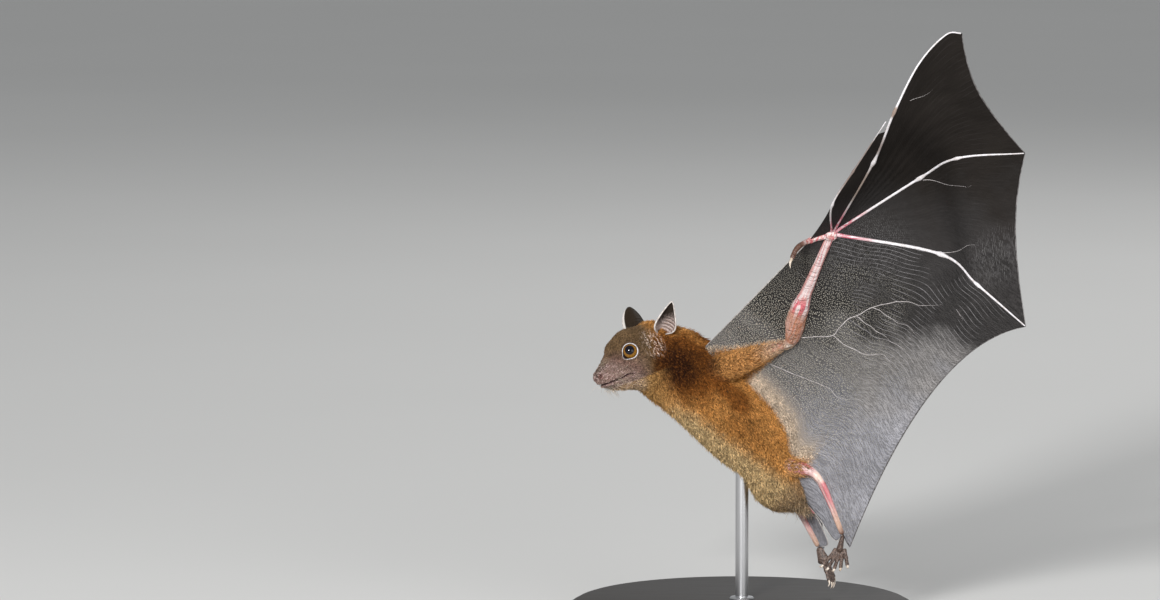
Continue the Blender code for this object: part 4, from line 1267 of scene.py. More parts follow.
def ear(side, sign, inner_finish, outer_finish, rim_finish):
    """A thin ear with a thick pale rim, whose back is darker than its inside."""
    place = ear_leaf(side, sign)
    leaf = shaped_sheet("ear_leaf_" + side, 36, 44, place, 0.45, *(inner_finish, outer_finish)[::sign])
    up = np.linspace(0.1, 1.0, 16)
    edge = np.concatenate([place(np.zeros(16), up), place(np.linspace(0.1, 0.9, 5), np.ones(5)),
                           place(np.ones(16), up[::-1])])
    rim = limb(path_through(edge), EAR_RIM, (0.3, 0.2, 1))
    return [leaf, shaped_ball("ear_rim_" + side, 8, 120, rim, rim_finish)]


# ---- arms, legs and tail
ARM_SKIN = ((0, 4.4), (0.10, 4.6), (0.20, 3.6), (0.28, 2.6), (0.36, 1.85), (0.405, 1.7), (0.425, 2.0),
            (0.46, 3.0), (0.535, 3.8), (0.62, 3.3), (0.70, 2.2), (0.86, 1.65), (1.0, 1.6))
WRIST_SKIN = ((0, 1.5), (0.3, 2.1), (0.55, 2.5), (0.8, 2.1), (1, 1.4))
THUMB_SKIN = ((0, 1.5), (0.25, 1.2), (0.36, 1.05), (0.42, 1.3), (0.48, 1.0), (0.6, 0.95), (0.66, 1.05),
              (0.8, 0.95), (1, 0.9))
LEG_SKIN = ((0, 3.6), (0.2, 3.0), (0.34, 2.0), (0.405, 1.9), (0.45, 1.65), (0.52, 1.75), (0.75, 1.25),
            (1, 1.15))
SOLE_SKIN = ((0, 1.2), (0.4, 1.75), (0.8, 2.5), (1, 2.2))
TOE_SKIN = ((0, 0.95), (0.3, 0.72), (0.5, 0.86), (0.62, 0.68), (0.9, 0.74), (1, 0.6))
TAIL_SKIN = ((0, 1.3), (0.6, 0.95), (1, 0.45))
TOES = 5


def leg_joints(side, sign):
    """A leg's places on its own side; the two edge lists are left out."""
    return {key: mirrored(value, sign) for key, value in LEGS[side].items()
            if not isinstance(value[0], tuple)}


def wing_points(sign):
    return {key: mirrored(point, sign) for key, point in WING.items()}


def arm_bone(at):
    """The path of the arm from shoulder to wrist, with a sharp bend at the elbow."""
    forearm = at["wrist"] - at["elbow"]
    before = at["shoulder"] + (at["elbow"] - at["shoulder"]) * 0.86
    after = at["elbow"] + forearm * 0.09
    to_front = unit((at["neck_edge"] + at["thumb_knuckle"]) / 2 - at["elbow"])
    belly = at["elbow"] + forearm * 0.30 + to_front * 1.3
    return path_through((at["shoulder"], before, at["elbow"], after, belly, at["wrist"]))


def strands(amount, count, twist=0.0):
    """Long muscles that show through the skin."""
    return lambda share, angle: amount * np.cos(count * angle + twist * share)


def arm(side, sign, finish_of_arm):
    """An arm from shoulder to wrist, with the wrist and the thumb."""
    at = wing_points(sign)
    along = limb(arm_bone(at), ARM_SKIN, (0, 0, 1), relief=strands(0.12, 3, 5.0))
    whole = shaped_ball("arm_" + side, 32, 150, along, finish_of_arm)
    hand = unit(at["wrist"] - at["elbow"])
    joint = path_through((at["wrist"] - hand * 3.2, at["wrist"], at["wrist"] + hand * 2.2))
    knob = limb(joint, WRIST_SKIN, (0, 0, 1), blunt=0.25, relief=strands(0.15, 4))
    wrist = shaped_ball("wrist_skin_" + side, 24, 30, knob, finish_of_arm)
    path = [at[key] for key in ("wrist", "thumb_knuckle", "thumb_bend", "thumb_end")]
    thumb = limb(path_through(path), THUMB_SKIN, (1, 0, 0.2), blunt=0.06)
    return [whole, wrist, shaped_ball("thumb_skin_" + side, 16, 60, thumb, finish_of_arm)]


def claw(name, start, reach, turn, length, thick, finish_of_claw):
    """A curved horn that tapers to a point."""
    bend = start + reach * length * 0.55 + turn * length * 0.12
    end = start + reach * length * 0.8 + turn * length * 0.6
    path = path_through((start - reach * length * 0.25, start, bend, end))
    radii = ((0, thick), (0.3, thick), (0.7, thick * 0.6), (1, 0.06))
    horn = limb(path, radii, np.cross(reach, turn), flat=1.3, blunt=0.04)
    return shaped_ball(name, 10, 24, horn, finish_of_claw)


def thumb_claw(side, sign, finish_of_claw):
    """The claw at the end of a thumb."""
    at = wing_points(sign)
    reach = unit(at["thumb_end"] - at["thumb_bend"])
    turn = unit(at["thumb_claw"] - at["thumb_end"] - reach * 0.8)
    return claw("thumb_claw_" + side, at["thumb_end"] - reach * 0.2, reach, turn, 2.9, 0.55, finish_of_claw)


def leg(side, sign, finish_of_leg, finish_of_foot, finish_of_claw):
    """A leg down to its toes, as skin pieces, and its claws."""
    joint = leg_joints(side, sign)
    bone = path_through((joint["hip"], joint["knee"], joint["ankle"]))
    whole = limb(bone, LEG_SKIN, (0, 1, 0.2), relief=strands(0.12, 3, 9.0), blunt=0.03)
    skin = [shaped_ball("leg_skin_" + side, 24, 110, whole, finish_of_leg)]
    first, last, turn = joint["first_toe"], joint["last_toe"], joint["claw_turn"]
    spread = last - first
    outward = unit((first + last) / 2 - joint["ball"])
    end = joint["ball"] + outward * 1.2
    sole = path_through((joint["ankle"], (joint["ankle"] + end) / 2, end))
    flat_sole = limb(sole, SOLE_SKIN, np.cross(np.cross(spread, outward), outward) * -1, flat=0.55, blunt=0.2)
    skin.append(shaped_ball("sole_skin_" + side, 20, 36, flat_sole, finish_of_foot))
    claws = []
    for number in range(TOES):
        share = number / (TOES - 1)
        tip = first + spread * share + outward * (1.6 * math.sin(math.pi * share))
        root = joint["ball"] + unit(spread) * (2.9 * (share - 0.5)) - outward * 0.8
        path = path_through((root, root + (tip - root) * 0.5 + unit(turn) * -0.25, tip))
        toe = limb(path, TOE_SKIN, spread, blunt=0.08)
        skin.append(shaped_ball("toe_skin_{}_{}".format(number, side), 12, 30, toe, finish_of_foot))
        reach = unit(tip - root)
        claws.append(claw("toe_claw_{}_{}".format(number, side), tip - reach * 0.3, reach, unit(turn),
                          2.1, 0.42, finish_of_claw))
    return skin, claws


def tail(finish_of_tail):
    """The short tail."""
    whole = limb(path_through(TAIL), TAIL_SKIN, (0, 1, 0), blunt=0.1)
    return shaped_ball("tail_skin", 12, 30, whole, finish_of_tail)


def make_skin():
    """The one skin of all flesh, with the claws and eyes beside it."""
    hide, limb_skin, ear_skin = hide_finish(), limb_finish(), ear_finish()
    rim = plain_finish("ear_rim", (0.40, 0.35, 0.32), (0.60, 0.56, 0.53), 1.0, 0.05, 0.4)
    ear_back = ear_back_finish()
    # Pale grey lid rims: partly the lids' own colour, partly painted reflection on their wet margins.
    lids = plain_finish("lid_skin", (0.32, 0.30, 0.30), (0.60, 0.58, 0.59), 1.6, 0.05, 0.35)
    foot_skin = plain_finish("foot_skin", (0.020, 0.011, 0.008), (0.15, 0.100, 0.078), 1.9, 0.3, 0.45)
    horn = plain_finish("claw_horn", (0.42, 0.33, 0.25), (0.66, 0.58, 0.50), 0.9, 0.03, 0.3)
    body = shaped_ball("skin", BODY_SEGMENTS, BODY_RINGS, body_place, hide)
    own = (points_of(body.data) / MM - ORIGIN) @ TURN
    # where painted shade goes: the mouth line, the creases and the nostrils
    body.data.attributes.new("crease", "FLOAT", "POINT").data.foreach_set("value", mouth_crease(own))
    parts, claws = [tail(limb_skin)], []
    for side, sign in SIDES:
        parts.append(lid(side, sign, lids))
        parts += ear(side, sign, ear_skin, ear_back, rim)
        parts += arm(side, sign, limb_skin)
        skins, toe_claws = leg(side, sign, limb_skin, foot_skin, horn)
        parts += skins
        claws += toe_claws + [thumb_claw(side, sign, horn)]
        settle(eyeball(side, sign), "eye", "eye_" + side)
    weld(body, parts, "flesh")
    bpy.context.view_layer.objects.active = only(body)
    bpy.ops.object.shade_smooth()
    nodes = ["head", "neck", "trunk", "tail"]
    for side, _ in SIDES:
        nodes += [part + "_" + side for part in ("ear", "upper_arm", "forearm", "wrist", "thumb", "thigh",
                                                 "shank", "foot")]
    settle(body, "fur_orange", *nodes)
    settle(join(claws, "claws"), "foot_skin")
    return body


# ---- wings
WEB_THICK = 0.26
FINGER_SKIN = {2: 0.36, 3: 0.56, 4: 0.60, 5: 0.60}
ARM_BILLOW = 3.0
HAND_BILLOW = 1.5


def finger_path(at, number):
    return [at["wrist"]] + [at[key] for key in FINGERS[number]]


def finger(side, sign, number, bone_finish):
    """A finger with a knob at its knuckle and at its middle joint."""
    at = wing_points(sign)
    path = finger_path(at, number)
    thick = FINGER_SKIN[number]
    knuckle, middle = share_at(path, 1), share_at(path, 2)
    radii = ((0, thick * 1.5), (0.06, thick * 1.15), (0.14, thick), (knuckle - 0.03, thick * 0.95),
             (knuckle, thick * 1.8), (knuckle + 0.03, thick * 0.9), (middle - 0.025, thick * 0.78),
             (middle, thick * 1.3), (middle + 0.025, thick * 0.74), (0.92, thick * 0.5), (1, 0.26))
    bone = limb(path_through(path), radii, (1, 0.2, 0), blunt=0.006)
    thing = shaped_ball("bone_{}_{}".format(number, side), 12, 150, bone, bone_finish)
    return settle(thing, "finger_skin", "finger_{}_{}".format(number, side))


def patch(bottom, top, left, right, billow, ripple):
    """place(u, v) of a four sided skin between paths, bulging by billow at its middle."""
    corner = [bottom(np.array(0.0)), bottom(np.array(1.0)), top(np.array(0.0)), top(np.array(1.0))]
    normal = unit(np.cross(corner[3] - corner[0], corner[1] - corner[2]))

    def place(u, v):
        across, along = u[:, None], v[:, None]
        sides = bottom(u) * (1 - along) + top(u) * along + left(v) * (1 - across) + right(v) * across
        flat = ((corner[0] * (1 - across) + corner[1] * across) * (1 - along)
                + (corner[2] * (1 - across) + corner[3] * across) * along)
        bulge = billow * np.sin(math.pi * u) * np.sin(math.pi * v) + ripple(u, v)
        return sides - flat + normal * bulge[:, None]
    return place


def web(first, second, start, end, scallop, billow, ripple):
    """place(u, v) of the skin between two fingers, from their root to a scalloped free edge."""
    root, far, other = first(np.array(0.0)), first(np.array(1.0)), second(np.array(1.0))
    normal = unit(np.cross(far - root, other - root))

    def place(u, v):
        along = start + (end - start) * v
        arch = 4 * u * (1 - u)
        share = along * (1 - scallop * arch * along)
        bulge = billow * arch * np.sin(math.pi * along * 0.8) + ripple(u, v)
        return first(share) * (1 - u[:, None]) + second(share) * u[:, None] + normal * bulge[:, None]
    return place


def flat_skin(u, v):
    """No folds."""
    return np.zeros_like(u)


def fan_folds(amount, count, bow):
    """Shallow folds that run from the root of a skin to its free edge."""
    def ripple(u, v):
        fade = np.sin(math.pi * np.clip(u, 0, 1)) * soft_step(0.02, 0.3, v)
        return amount * fade * np.sin(2 * math.pi * count * (u + bow * v * (1 - v)))
    return ripple


def cross_folds(amount, count, lean):
    """Shallow folds that run along the arm and lean towards the leg."""
    def ripple(u, v):
        fade = np.sin(math.pi * np.clip(u, 0, 1)) * np.sin(math.pi * np.clip(v, 0, 1))
        main = np.sin(2 * math.pi * (count * v + lean * u))
        return amount * fade * main * (0.6 + 0.4 * np.sin(9 * u + 4 * v))
    return ripple


def arm_skin_place(side, sign):
    """place(u, v) of the large skin: u from the flank to the fifth finger, v from the arm to the edge."""
    at, joint = wing_points(sign), leg_joints(side, sign)
    flank = [mirrored(point, sign) for point in FLANK]
    leg_line = [joint[key] for key in ("hip", "knee", "ankle", "heel")]
    flank_line = path_through([at["shoulder"]] + flank + leg_line)
    pull_leg, pull_tip = (mirrored(value, sign) for value in LEGS[side]["edge_pull"])
    heel, tip = joint["heel"], at["tip_5"]
    return patch(arm_bone(at), bezier(heel, heel + pull_leg, tip + pull_tip, tip), flank_line,
                 path_through(finger_path(at, 5)), ARM_BILLOW * sign, cross_folds(0.16 * sign, 9, 3.0))


def front_skin_place(sign):
    """place(u, v) of the skin before the arm, from shoulder to thumb."""
    at = wing_points(sign)
    return patch(arm_bone(at), straight(at["neck_edge"], at["thumb_knuckle"]),
                 straight(at["shoulder"], at["neck_edge"]), straight(at["wrist"], at["thumb_knuckle"]),
                 0.0, cross_folds(0.08 * sign, 4, 1.0))


def hand_skin_places(sign):
    """place(u, v) of the skins from the thumb to the fifth finger."""
    at = wing_points(sign)
    bones = {number: path_through(finger_path(at, number)) for number in FINGERS}
    thumb_path = [at[key] for key in ("wrist", "thumb_knuckle", "thumb_bend", "thumb_end", "thumb_claw")]
    thumb = path_through(thumb_path)
    thumb_share, second_share = share_at(thumb_path, 1), share_at(finger_path(at, 2), 1)
    meeting = share_at(finger_path(at, 3), 2) * 0.93
    return {
        "1_2": web(lambda s: thumb(s * thumb_share), lambda s: bones[2](s * second_share), 0.15, 1.0,
                   0.10, 0.0, flat_skin),
        "2_3": web(bones[2], lambda s: bones[3](s * meeting), 0.04, 0.9, 0.0, 0.0, flat_skin),
        "3_4": web(bones[3], bones[4], 0.02, 1.0, 0.055, HAND_BILLOW * sign, fan_folds(0.12 * sign, 7, 0.8)),
        "4_5": web(bones[4], bones[5], 0.02, 1.0, 0.05, HAND_BILLOW * sign, fan_folds(0.12 * sign, 6, -0.7)),
    }


def tail_skin_place(side, sign):
    """place(u, v) of the skin between a leg and the tail."""
    joint = leg_joints(side, sign)
    inner = [np.array((TAIL[1][0] + 1.5, 0.9 * sign, TAIL[1][2]))]
    inner += [mirrored(point, sign) for point in LEGS[side]["inner_edge"]] + [joint["ankle"]]
    outer = [joint[key] for key in ("hip", "knee", "ankle")]
    return web(path_through(outer), path_through(inner), 0.0, 0.96, 0.0, 0.0, flat_skin)


def free_edge(share):
    """Shares (u, v) along the far edge of a skin."""
    return share, np.ones_like(share)


def hem(name, place, line, radius, hem_finish):
    """A fine cord along a free edge, where line(share) gives (u, v) on a skin."""
    path = path_through(place(*line(np.linspace(0, 1, 40))))
    radii = ((0, radius * 0.6), (0.5, radius), (1, radius * 0.6))
    return shaped_ball(name, 8, 120, limb(path, radii, (1, 0.3, 0.1), blunt=0.004), hem_finish)


def vein(name, place, points, thick, vein_finish):
    """A vein that stands out on both faces of a skin, through given (u, v) points."""
    route = path_through(points)
    sway = route(np.linspace(0, 1, 6 * len(points)))
    path = path_through(place(sway[:, 0], sway[:, 1]))
    radii = ((0, thick), (0.6, thick * 0.8), (1, thick * 0.35))
    return shaped_ball(name, 6, 14 * len(points), limb(path, radii, (1, 0.3, 0.1), blunt=0.01), vein_finish)


# veins of the large skin: how thick each is, and its (share from flank to finger, share from arm to edge)
ARM_VEINS = (
    (0.24, (0.45, 0.03), (0.475, 0.14), (0.519, 0.225), (0.56, 0.243), (0.607, 0.28), (0.64, 0.318),
     (0.682, 0.351), (0.72, 0.418), (0.766, 0.527), (0.77, 0.607), (0.80, 0.67), (0.828, 0.711),
     (0.862, 0.791), (0.908, 0.858)),
    (0.22, (0.519, 0.225), (0.498, 0.314), (0.51, 0.439), (0.531, 0.527), (0.54, 0.60), (0.523, 0.674),
     (0.51, 0.78), (0.498, 0.866)),
    (0.19, (0.69, 0.364), (0.686, 0.49), (0.674, 0.561), (0.674, 0.636), (0.669, 0.745), (0.682, 0.833),
     (0.682, 0.90)),
    (0.19, (0.628, 0.305), (0.611, 0.389), (0.611, 0.51), (0.59, 0.619), (0.594, 0.736), (0.598, 0.812),
     (0.611, 0.93)),
    (0.17, (0.854, 0.774), (0.837, 0.841), (0.824, 0.90)),
    (0.22, (0.184, 0.063), (0.222, 0.197), (0.25, 0.27), (0.314, 0.448), (0.331, 0.615), (0.322, 0.715),
     (0.343, 0.795)),
    (0.15, (0.452, 0.318), (0.464, 0.452), (0.439, 0.682)),
    (0.17, (0.075, 0.636), (0.126, 0.78), (0.18, 0.837)),
    # long straight fibres
    (0.15, (0.623, 0.213), (0.598, 0.285), (0.536, 0.51), (0.46, 0.682), (0.431, 0.795)),
    (0.15, (0.628, 0.314), (0.569, 0.531), (0.485, 0.749), (0.469, 0.854)),
    (0.15, (0.669, 0.339), (0.628, 0.51), (0.561, 0.715), (0.556, 0.808), (0.569, 0.883)),
    (0.13, (0.69, 0.41), (0.657, 0.598), (0.628, 0.745)),
    (0.13, (0.72, 0.49), (0.69, 0.63), (0.657, 0.778)),
    (0.13, (0.808, 0.188), (0.749, 0.339), (0.728, 0.481)),
    (0.13, (0.845, 0.247), (0.81, 0.42), (0.803, 0.644)),
    (0.13, (0.77, 0.20), (0.71, 0.33), (0.69, 0.41)),
)
HAND_VEINS = {
    "3_4": ((0.17, (0.12, 0.70), (0.243, 0.778), (0.276, 0.862), (0.305, 0.904)),
            (0.13, (0.523, 0.418), (0.657, 0.494), (0.833, 0.573))),
    "4_5": ((0.18, (0.042, 0.46), (0.192, 0.594), (0.234, 0.757), (0.268, 0.845), (0.301, 0.904)),
            (0.14, (0.234, 0.757), (0.18, 0.858), (0.192, 0.916)),
            (0.18, (0.975, 0.485), (0.828, 0.611), (0.703, 0.724), (0.64, 0.854), (0.665, 0.904))),
}


HAND_GRIDS = {"1_2": (10, 10), "2_3": (10, 90), "3_4": (70, 120), "4_5": (60, 100)}


def make_wing(side, sign, bone_finish):
    """All skins, fingers, hems and veins of one wing."""
    for number in FINGERS:
        finger(side, sign, number, bone_finish)
    place = arm_skin_place(side, sign)
    arm_web = web_finish("arm_web_" + side, (95.0, 105.0), 0.5, 0.75, 0.16, True)
    hand_web = web_finish("hand_web_" + side, (42.0, 88.0), 0.02, 0.0, 0.03)
    front_web = web_finish("front_web_" + side, (95.0, 26.0), 0.1, 0.9, 0.16)
    hem_finish = plain_finish("hem_" + side, (0.05, 0.045, 0.044), (0.15, 0.14, 0.137), 0.7, 0.05, 0.45)
    pale_hem = plain_finish("pale_hem_" + side, (0.34, 0.31, 0.29), (0.50, 0.47, 0.45), 0.7, 0.05, 0.4)
    vein_finish = plain_finish("vein_" + side, (0.36, 0.33, 0.325), (0.54, 0.50, 0.49), 0.6, 0.03, 0.4)
    tail_web = web_finish("tail_web_" + side, (11.0, 30.0), 0.3, 0.0, 0.16)
    main = shaped_sheet("web_arm_" + side, 130, 120, place, WEB_THICK, arm_web)
    settle(main, "wing_skin", "plagiopatagium_" + side)
    cords = [hem("hem_arm", place, free_edge, 0.28, hem_finish)]
    veins = [vein("vein", place, route[1:], route[0], vein_finish) for route in ARM_VEINS]
    for key, hand_place in hand_skin_places(sign).items():
        thing = shaped_sheet("web_{}_{}".format(key, side), *HAND_GRIDS[key], hand_place, WEB_THICK, hand_web)
        settle(thing, "wing_skin", "membrane_{}_{}".format(key, side))
        if key in HAND_VEINS:
            cords.append(hem("hem", hand_place, free_edge, 0.26, hem_finish))
            veins += [vein("vein", hand_place, route[1:], route[0], vein_finish) for route in HAND_VEINS[key]]
    front = front_skin_place(sign)
    settle(shaped_sheet("web_front_" + side, 110, 18, front, WEB_THICK, front_web), "wing_skin",
           "propatagium_" + side)
    cords.append(hem("hem_front", front, free_edge, 0.27, pale_hem))
    veins.append(vein("vein", front, ((0.76, 0.15), (0.77, 0.45), (0.774, 0.85)), 0.17, vein_finish))
    tail_place = tail_skin_place(side, sign)
    settle(shaped_sheet("web_tail_" + side, 12, 60, tail_place, WEB_THICK, tail_web), "wing_skin",
           "uropatagium_" + side)
    cords.append(hem("hem_tail", tail_place, lambda s: (np.ones_like(s), s * 0.98 + 0.01), 0.25, pale_hem))
    settle(join(cords, "hems_" + side), "wing_skin")
    settle(join(veins, "veins_" + side), "wing_skin")


# ---- coat: tufts of solid mesh
TUFT_LIMIT = 18500          # tufts of ten faces in one piece
TUFT_PATCH = 0.003          # the share of the map's width and height that one tuft takes up
BODY_TUFTS = 80000
RUMP_HAIRS = 1500
WHISKERS = 90
ARM_TUFTS = 7500
THIGH_TUFTS = 1500
FLANK_TUFTS = 9000
SHOULDER_TUFTS = 3000
STRAY_SHARE = 0.10          # tufts that stand higher than the rest
# length, width and density of the body's fur along the chain of rings
FUR_LENGTH = ((0, 4.0), (2, 3.4), (4, 2.9), (8, 2.7), (10, 2.6), (11, 2.2), (12, 1.8), (13.5, 1.35),
              (15, 1.05), (17, 0.75), (21, 0.5))
FUR_WIDTH = ((0, 0.30), (8, 0.28), (11, 0.25), (13, 0.19), (16, 0.13), (21, 0.09))
FUR_DENSITY = ((0, 1.2), (2, 1.0), (8, 1.0), (10, 1.2), (11, 1.5), (13, 2.6), (16, 4.0), (21, 4.0))
# fur of the arm and thigh, by the share of the limb's length
ARM_FUR = {
    "density": ((0, 1.0), (0.3, 1.0), (0.36, 0.7), (0.42, 0.35), (0.56, 0.22), (0.66, 0.0), (1, 0.0)),
    "length": ((0, 2.8), (0.25, 2.3), (0.40, 1.4), (0.7, 1.0)),
    "height": ((0, 1.5), (0.22, 1.1), (0.36, 0.5), (0.44, 0.25), (0.7, 0.2)),
    "width": ((0, 0.27), (0.28, 0.24), (0.42, 0.15), (0.7, 0.10)),
    "pale": ((0, 0.0), (0.22, 0.10), (0.32, 0.5), (0.42, 0.4), (0.48, 0.0), (1, 0.0)),
}
THIGH_FUR = {
    "density": ((0, 1.0), (0.16, 0.8), (0.28, 0.12), (0.34, 0.0), (1, 0.0)),
    "length": ((0, 2.8), (0.3, 1.6), (1, 1.0)),
    "height": ((0, 1.2), (0.3, 0.5), (1, 0.3)),
    "width": ((0, 0.26), (0.3, 0.16), (1, 0.1)),
    "pale": ((0, 0.1), (1, 0.2)),
}
# how far fur runs from the arm onto the skins behind and before it, by share from shoulder to wrist
ARMPIT_REACH = ((0, 13.0), (0.08, 9.6), (0.155, 7.4), (0.234, 4.6), (0.30, 2.8), (0.36, 1.6), (0.42, 0.4),
                (1, 0.4))
SHOULDER_REACH = ((0, 10.0), (0.08, 8.9), (0.155, 7.1), (0.234, 5.6), (0.30, 4.3), (0.36, 3.0), (0.42, 1.6),
                  (0.47, 0.1), (1, 0.1))


def sample_grid(points, density, count):
    """Random spots of a grid of points, by area and density, as fractional rows and columns."""
    down, right = points[1:, :-1] - points[:-1, :-1], points[:-1, 1:] - points[:-1, :-1]
    area = np.linalg.norm(np.cross(down, right), axis=-1) * density[:-1, :-1]
    cell = CHANCE.choice(area.size, size=count, p=area.ravel() / area.sum())
    row, column = np.divmod(cell, area.shape[1])
    order = np.argsort(row, kind="stable")
    return row[order] + CHANCE.random(count), column[order] + CHANCE.random(count)


def read_grid(values, row, column):
    """Values of a grid at fractional rows and columns."""
    values = np.asarray(values, float)
    i = np.clip(row.astype(int), 0, values.shape[0] - 2)
    j = np.clip(column.astype(int), 0, values.shape[1] - 2)
    a, b = row - i, column - j
    if values.ndim == 3:
        a, b = a[:, None], b[:, None]
    return (values[i, j] * (1 - a) * (1 - b) + values[i + 1, j] * a * (1 - b)
            + values[i, j + 1] * (1 - a) * b + values[i + 1, j + 1] * a * b)


def tuft_mesh(name, root, out, lie, length, height, width, pale, chart, coat_material):
    """One piece of coat: bent three sided locks that taper to a point."""
    count = len(root)
    side = unit(np.cross(lie, out))
    steps = np.array((0.0, 0.5))
    curl = CHANCE.normal(0, 0.12, count) * length
    sunk = np.minimum(0.15, height * 0.2)
    rings = []
    for step in steps:
        middle = (root + lie * (length * step)[:, None]
                  + out * (height * (1.6 * step - 0.6 * step ** 2) - sunk)[:, None]
                  + side * (curl * step ** 2)[:, None])
        half = width * (1 - 0.4 * step) / 2
        rings.append(np.stack([middle + side * half[:, None], middle - side * half[:, None],
                               middle + out * (half * 1.1)[:, None]], axis=1))
    tip = root + lie * length[:, None] + out * (height - sunk)[:, None] + side * curl[:, None]
    points = np.concatenate(rings + [tip[:, None]], axis=1)
    each = points.shape[1]
    faces = [(0, 1, 2)]
    for k in range(3):
        m = (k + 1) % 3
        faces += [(k, 3 + k, 3 + m), (k, 3 + m, m), (3 + k, each - 1, 3 + m)]
    faces = np.array(faces)
    corners = (faces[None] + (np.arange(count) * each)[:, None, None]).reshape(-1)
    mesh = bpy.data.meshes.new(name)
    mesh.vertices.add(count * each)
    mesh.vertices.foreach_set("co", world(points.reshape(-1, 3)).ravel())
    mesh.loops.add(len(corners))
    mesh.loops.foreach_set("vertex_index", corners)
    mesh.polygons.add(len(corners) // 3)
    mesh.polygons.foreach_set("loop_start", np.arange(0, len(corners), 3))
    mesh.update(calc_edges=True)
    along = np.concatenate([np.repeat(steps, 3), [1.0]])
    spread = np.concatenate([np.tile((0.0, 1.0, 0.5), len(steps)), [0.5]])
    patch_uv = np.stack([spread, along], axis=-1) * TUFT_PATCH
    uv = (chart[:, None, :] * (1 - TUFT_PATCH) + patch_uv[None]).reshape(-1, 2)
    mesh.uv_layers.new(name="OFBake").data.foreach_set("uv", uv[corners].ravel())
    shade = CHANCE.normal(0.5, 0.24, count).clip(0, 1)
    for label, values in (("tip", np.tile(along, count)), ("shade", np.repeat(shade, each)),
                          ("pale", np.repeat(pale, each))):
        mesh.attributes.new(label, "FLOAT", "POINT").data.foreach_set("value", values.astype(np.float32))
    mesh.shade_smooth()
    mesh.materials.append(coat_material)
    thing = bpy.data.objects.new(name, mesh)
    bpy.context.scene.collection.objects.link(thing)
    return thing


def add_coat(name, points, out, lie, fields, count, coat_material, spread=0.42):
    """Cover a grid with tufts; fields holds density, length, height, width and pale, as grids or numbers."""
    row, column = sample_grid(points, fields["density"], count)
    read = {key: read_grid(np.broadcast_to(value, points.shape[:2]), row, column)
            for key, value in fields.items() if key != "density"}
    root = read_grid(points, row, column)
    normal = unit(read_grid(out, row, column))
    way = read_grid(lie, row, column)
    turn = CHANCE.normal(0, spread, count)[:, None]
    way = unit(way - normal * (way * normal).sum(-1, keepdims=True))
    way = unit(way * np.cos(turn) + np.cross(normal, way) * np.sin(turn))
    length = read["length"] * CHANCE.uniform(0.6, 1.25, count)
    height = read["height"] * CHANCE.uniform(0.5, 1.0, count)
    height = height * np.where(CHANCE.random(count) < STRAY_SHARE, 1.5, 1.0)
    width = read["width"] * CHANCE.uniform(0.7, 1.3, count)
    chart = np.stack([column / points.shape[1], row / points.shape[0]], axis=-1)
    pieces = math.ceil(count / TUFT_LIMIT)
    for number in range(pieces):
        part = slice(number * count // pieces, (number + 1) * count // pieces)
        thing = tuft_mesh("{}_{}".format(name, number + 1), root[part], normal[part], way[part], length[part],
                          height[part], width[part], read["pale"][part], chart[part], coat_material)
        settle(thing, "fur_orange")


def closed(grid):
    """A grid that runs round, with its first column repeated at the end."""
    return np.concatenate([grid, grid[:, :1]], axis=1)


def body_coat(coat_material):
    """Fur of trunk, neck and head, swept back from the nose to the rump."""
    place, angle = closed(BODY_PLACE), closed(BODY_ANGLE)
    points, out = closed(BODY_SKIN), closed(BODY_OUT)
    lie = unit(-np.gradient(points, axis=0))
    lie[..., 2] -= 0.3 * soft_step(0.1, 0.8, np.abs(np.cos(angle)))
    head = in_head(points)
    behind, above = head[..., 0], head[..., 2]
    depth = table(COAT_DEPTH, place)
    eye = np.ones_like(place)
    for _, sign in SIDES:
        centre, axis, corner, third = eye_axes(sign)
        offset = points - centre
        x, y = offset @ corner, offset @ third
        clear = np.hypot(x, y) - lid_radius(np.arctan2(y, x))
        eye = eye * np.where(offset @ axis > 0, soft_step(0.4, 0.8, clear), 1.0)
    muzzle = soft_step(-11.0, -6.0, behind - 0.85 * above) * soft_step(-18.0, -14.0, behind)
    density = table(FUR_DENSITY, place) * eye * (1 - 0.72 * muzzle)
    density = density * (distance_to_line(behind, above, MOUTH) > 0.45)
    rump = soft_step(1.5, 0.2, place)
    fields = {"density": density, "length": table(FUR_LENGTH, place), "width": table(FUR_WIDTH, place),
              "height": np.maximum(depth, 0.25) * 0.98 + 0.8 * rump, "pale": 0.45 * muzzle}
    add_coat("coat_body", points, out, lie, fields, BODY_TUFTS, coat_material)
    fields = {"density": soft_step(3.0, 0.6, place) + 1e-6, "length": 5.0 + 3.0 * rump,
              "height": 1.6 + 1.6 * rump, "width": 0.13, "pale": 0.35}
    add_coat("hairs_rump", points, out, lie, fields, RUMP_HAIRS, coat_material)
    chin = hump(behind, -4.0, 3.5) * hump(above, -6.8, 1.6)
    chin = chin + 0.25 * hump(behind, -6.0, 3.0) * hump(above, -2.5, 1.5)
    fields = {"density": chin + 1e-7, "length": 4.2, "height": 3.2, "width": 0.11, "pale": 0.95}
    add_coat("whiskers", points, out, lie, fields, WHISKERS, coat_material, 0.6)


def tube_grid(place, rings, segments):
    """Grid of points round a limb from its place(share, angle), just clear of its two end points."""
    share = np.linspace(0.001, 0.999, rings)[:, None] * np.ones(segments + 1)
    angle = 2 * math.pi * np.arange(segments + 1) / segments * np.ones((rings, 1))
    points = place(share.ravel(), angle.ravel()).reshape(rings, segments + 1, 3)
    return points, share


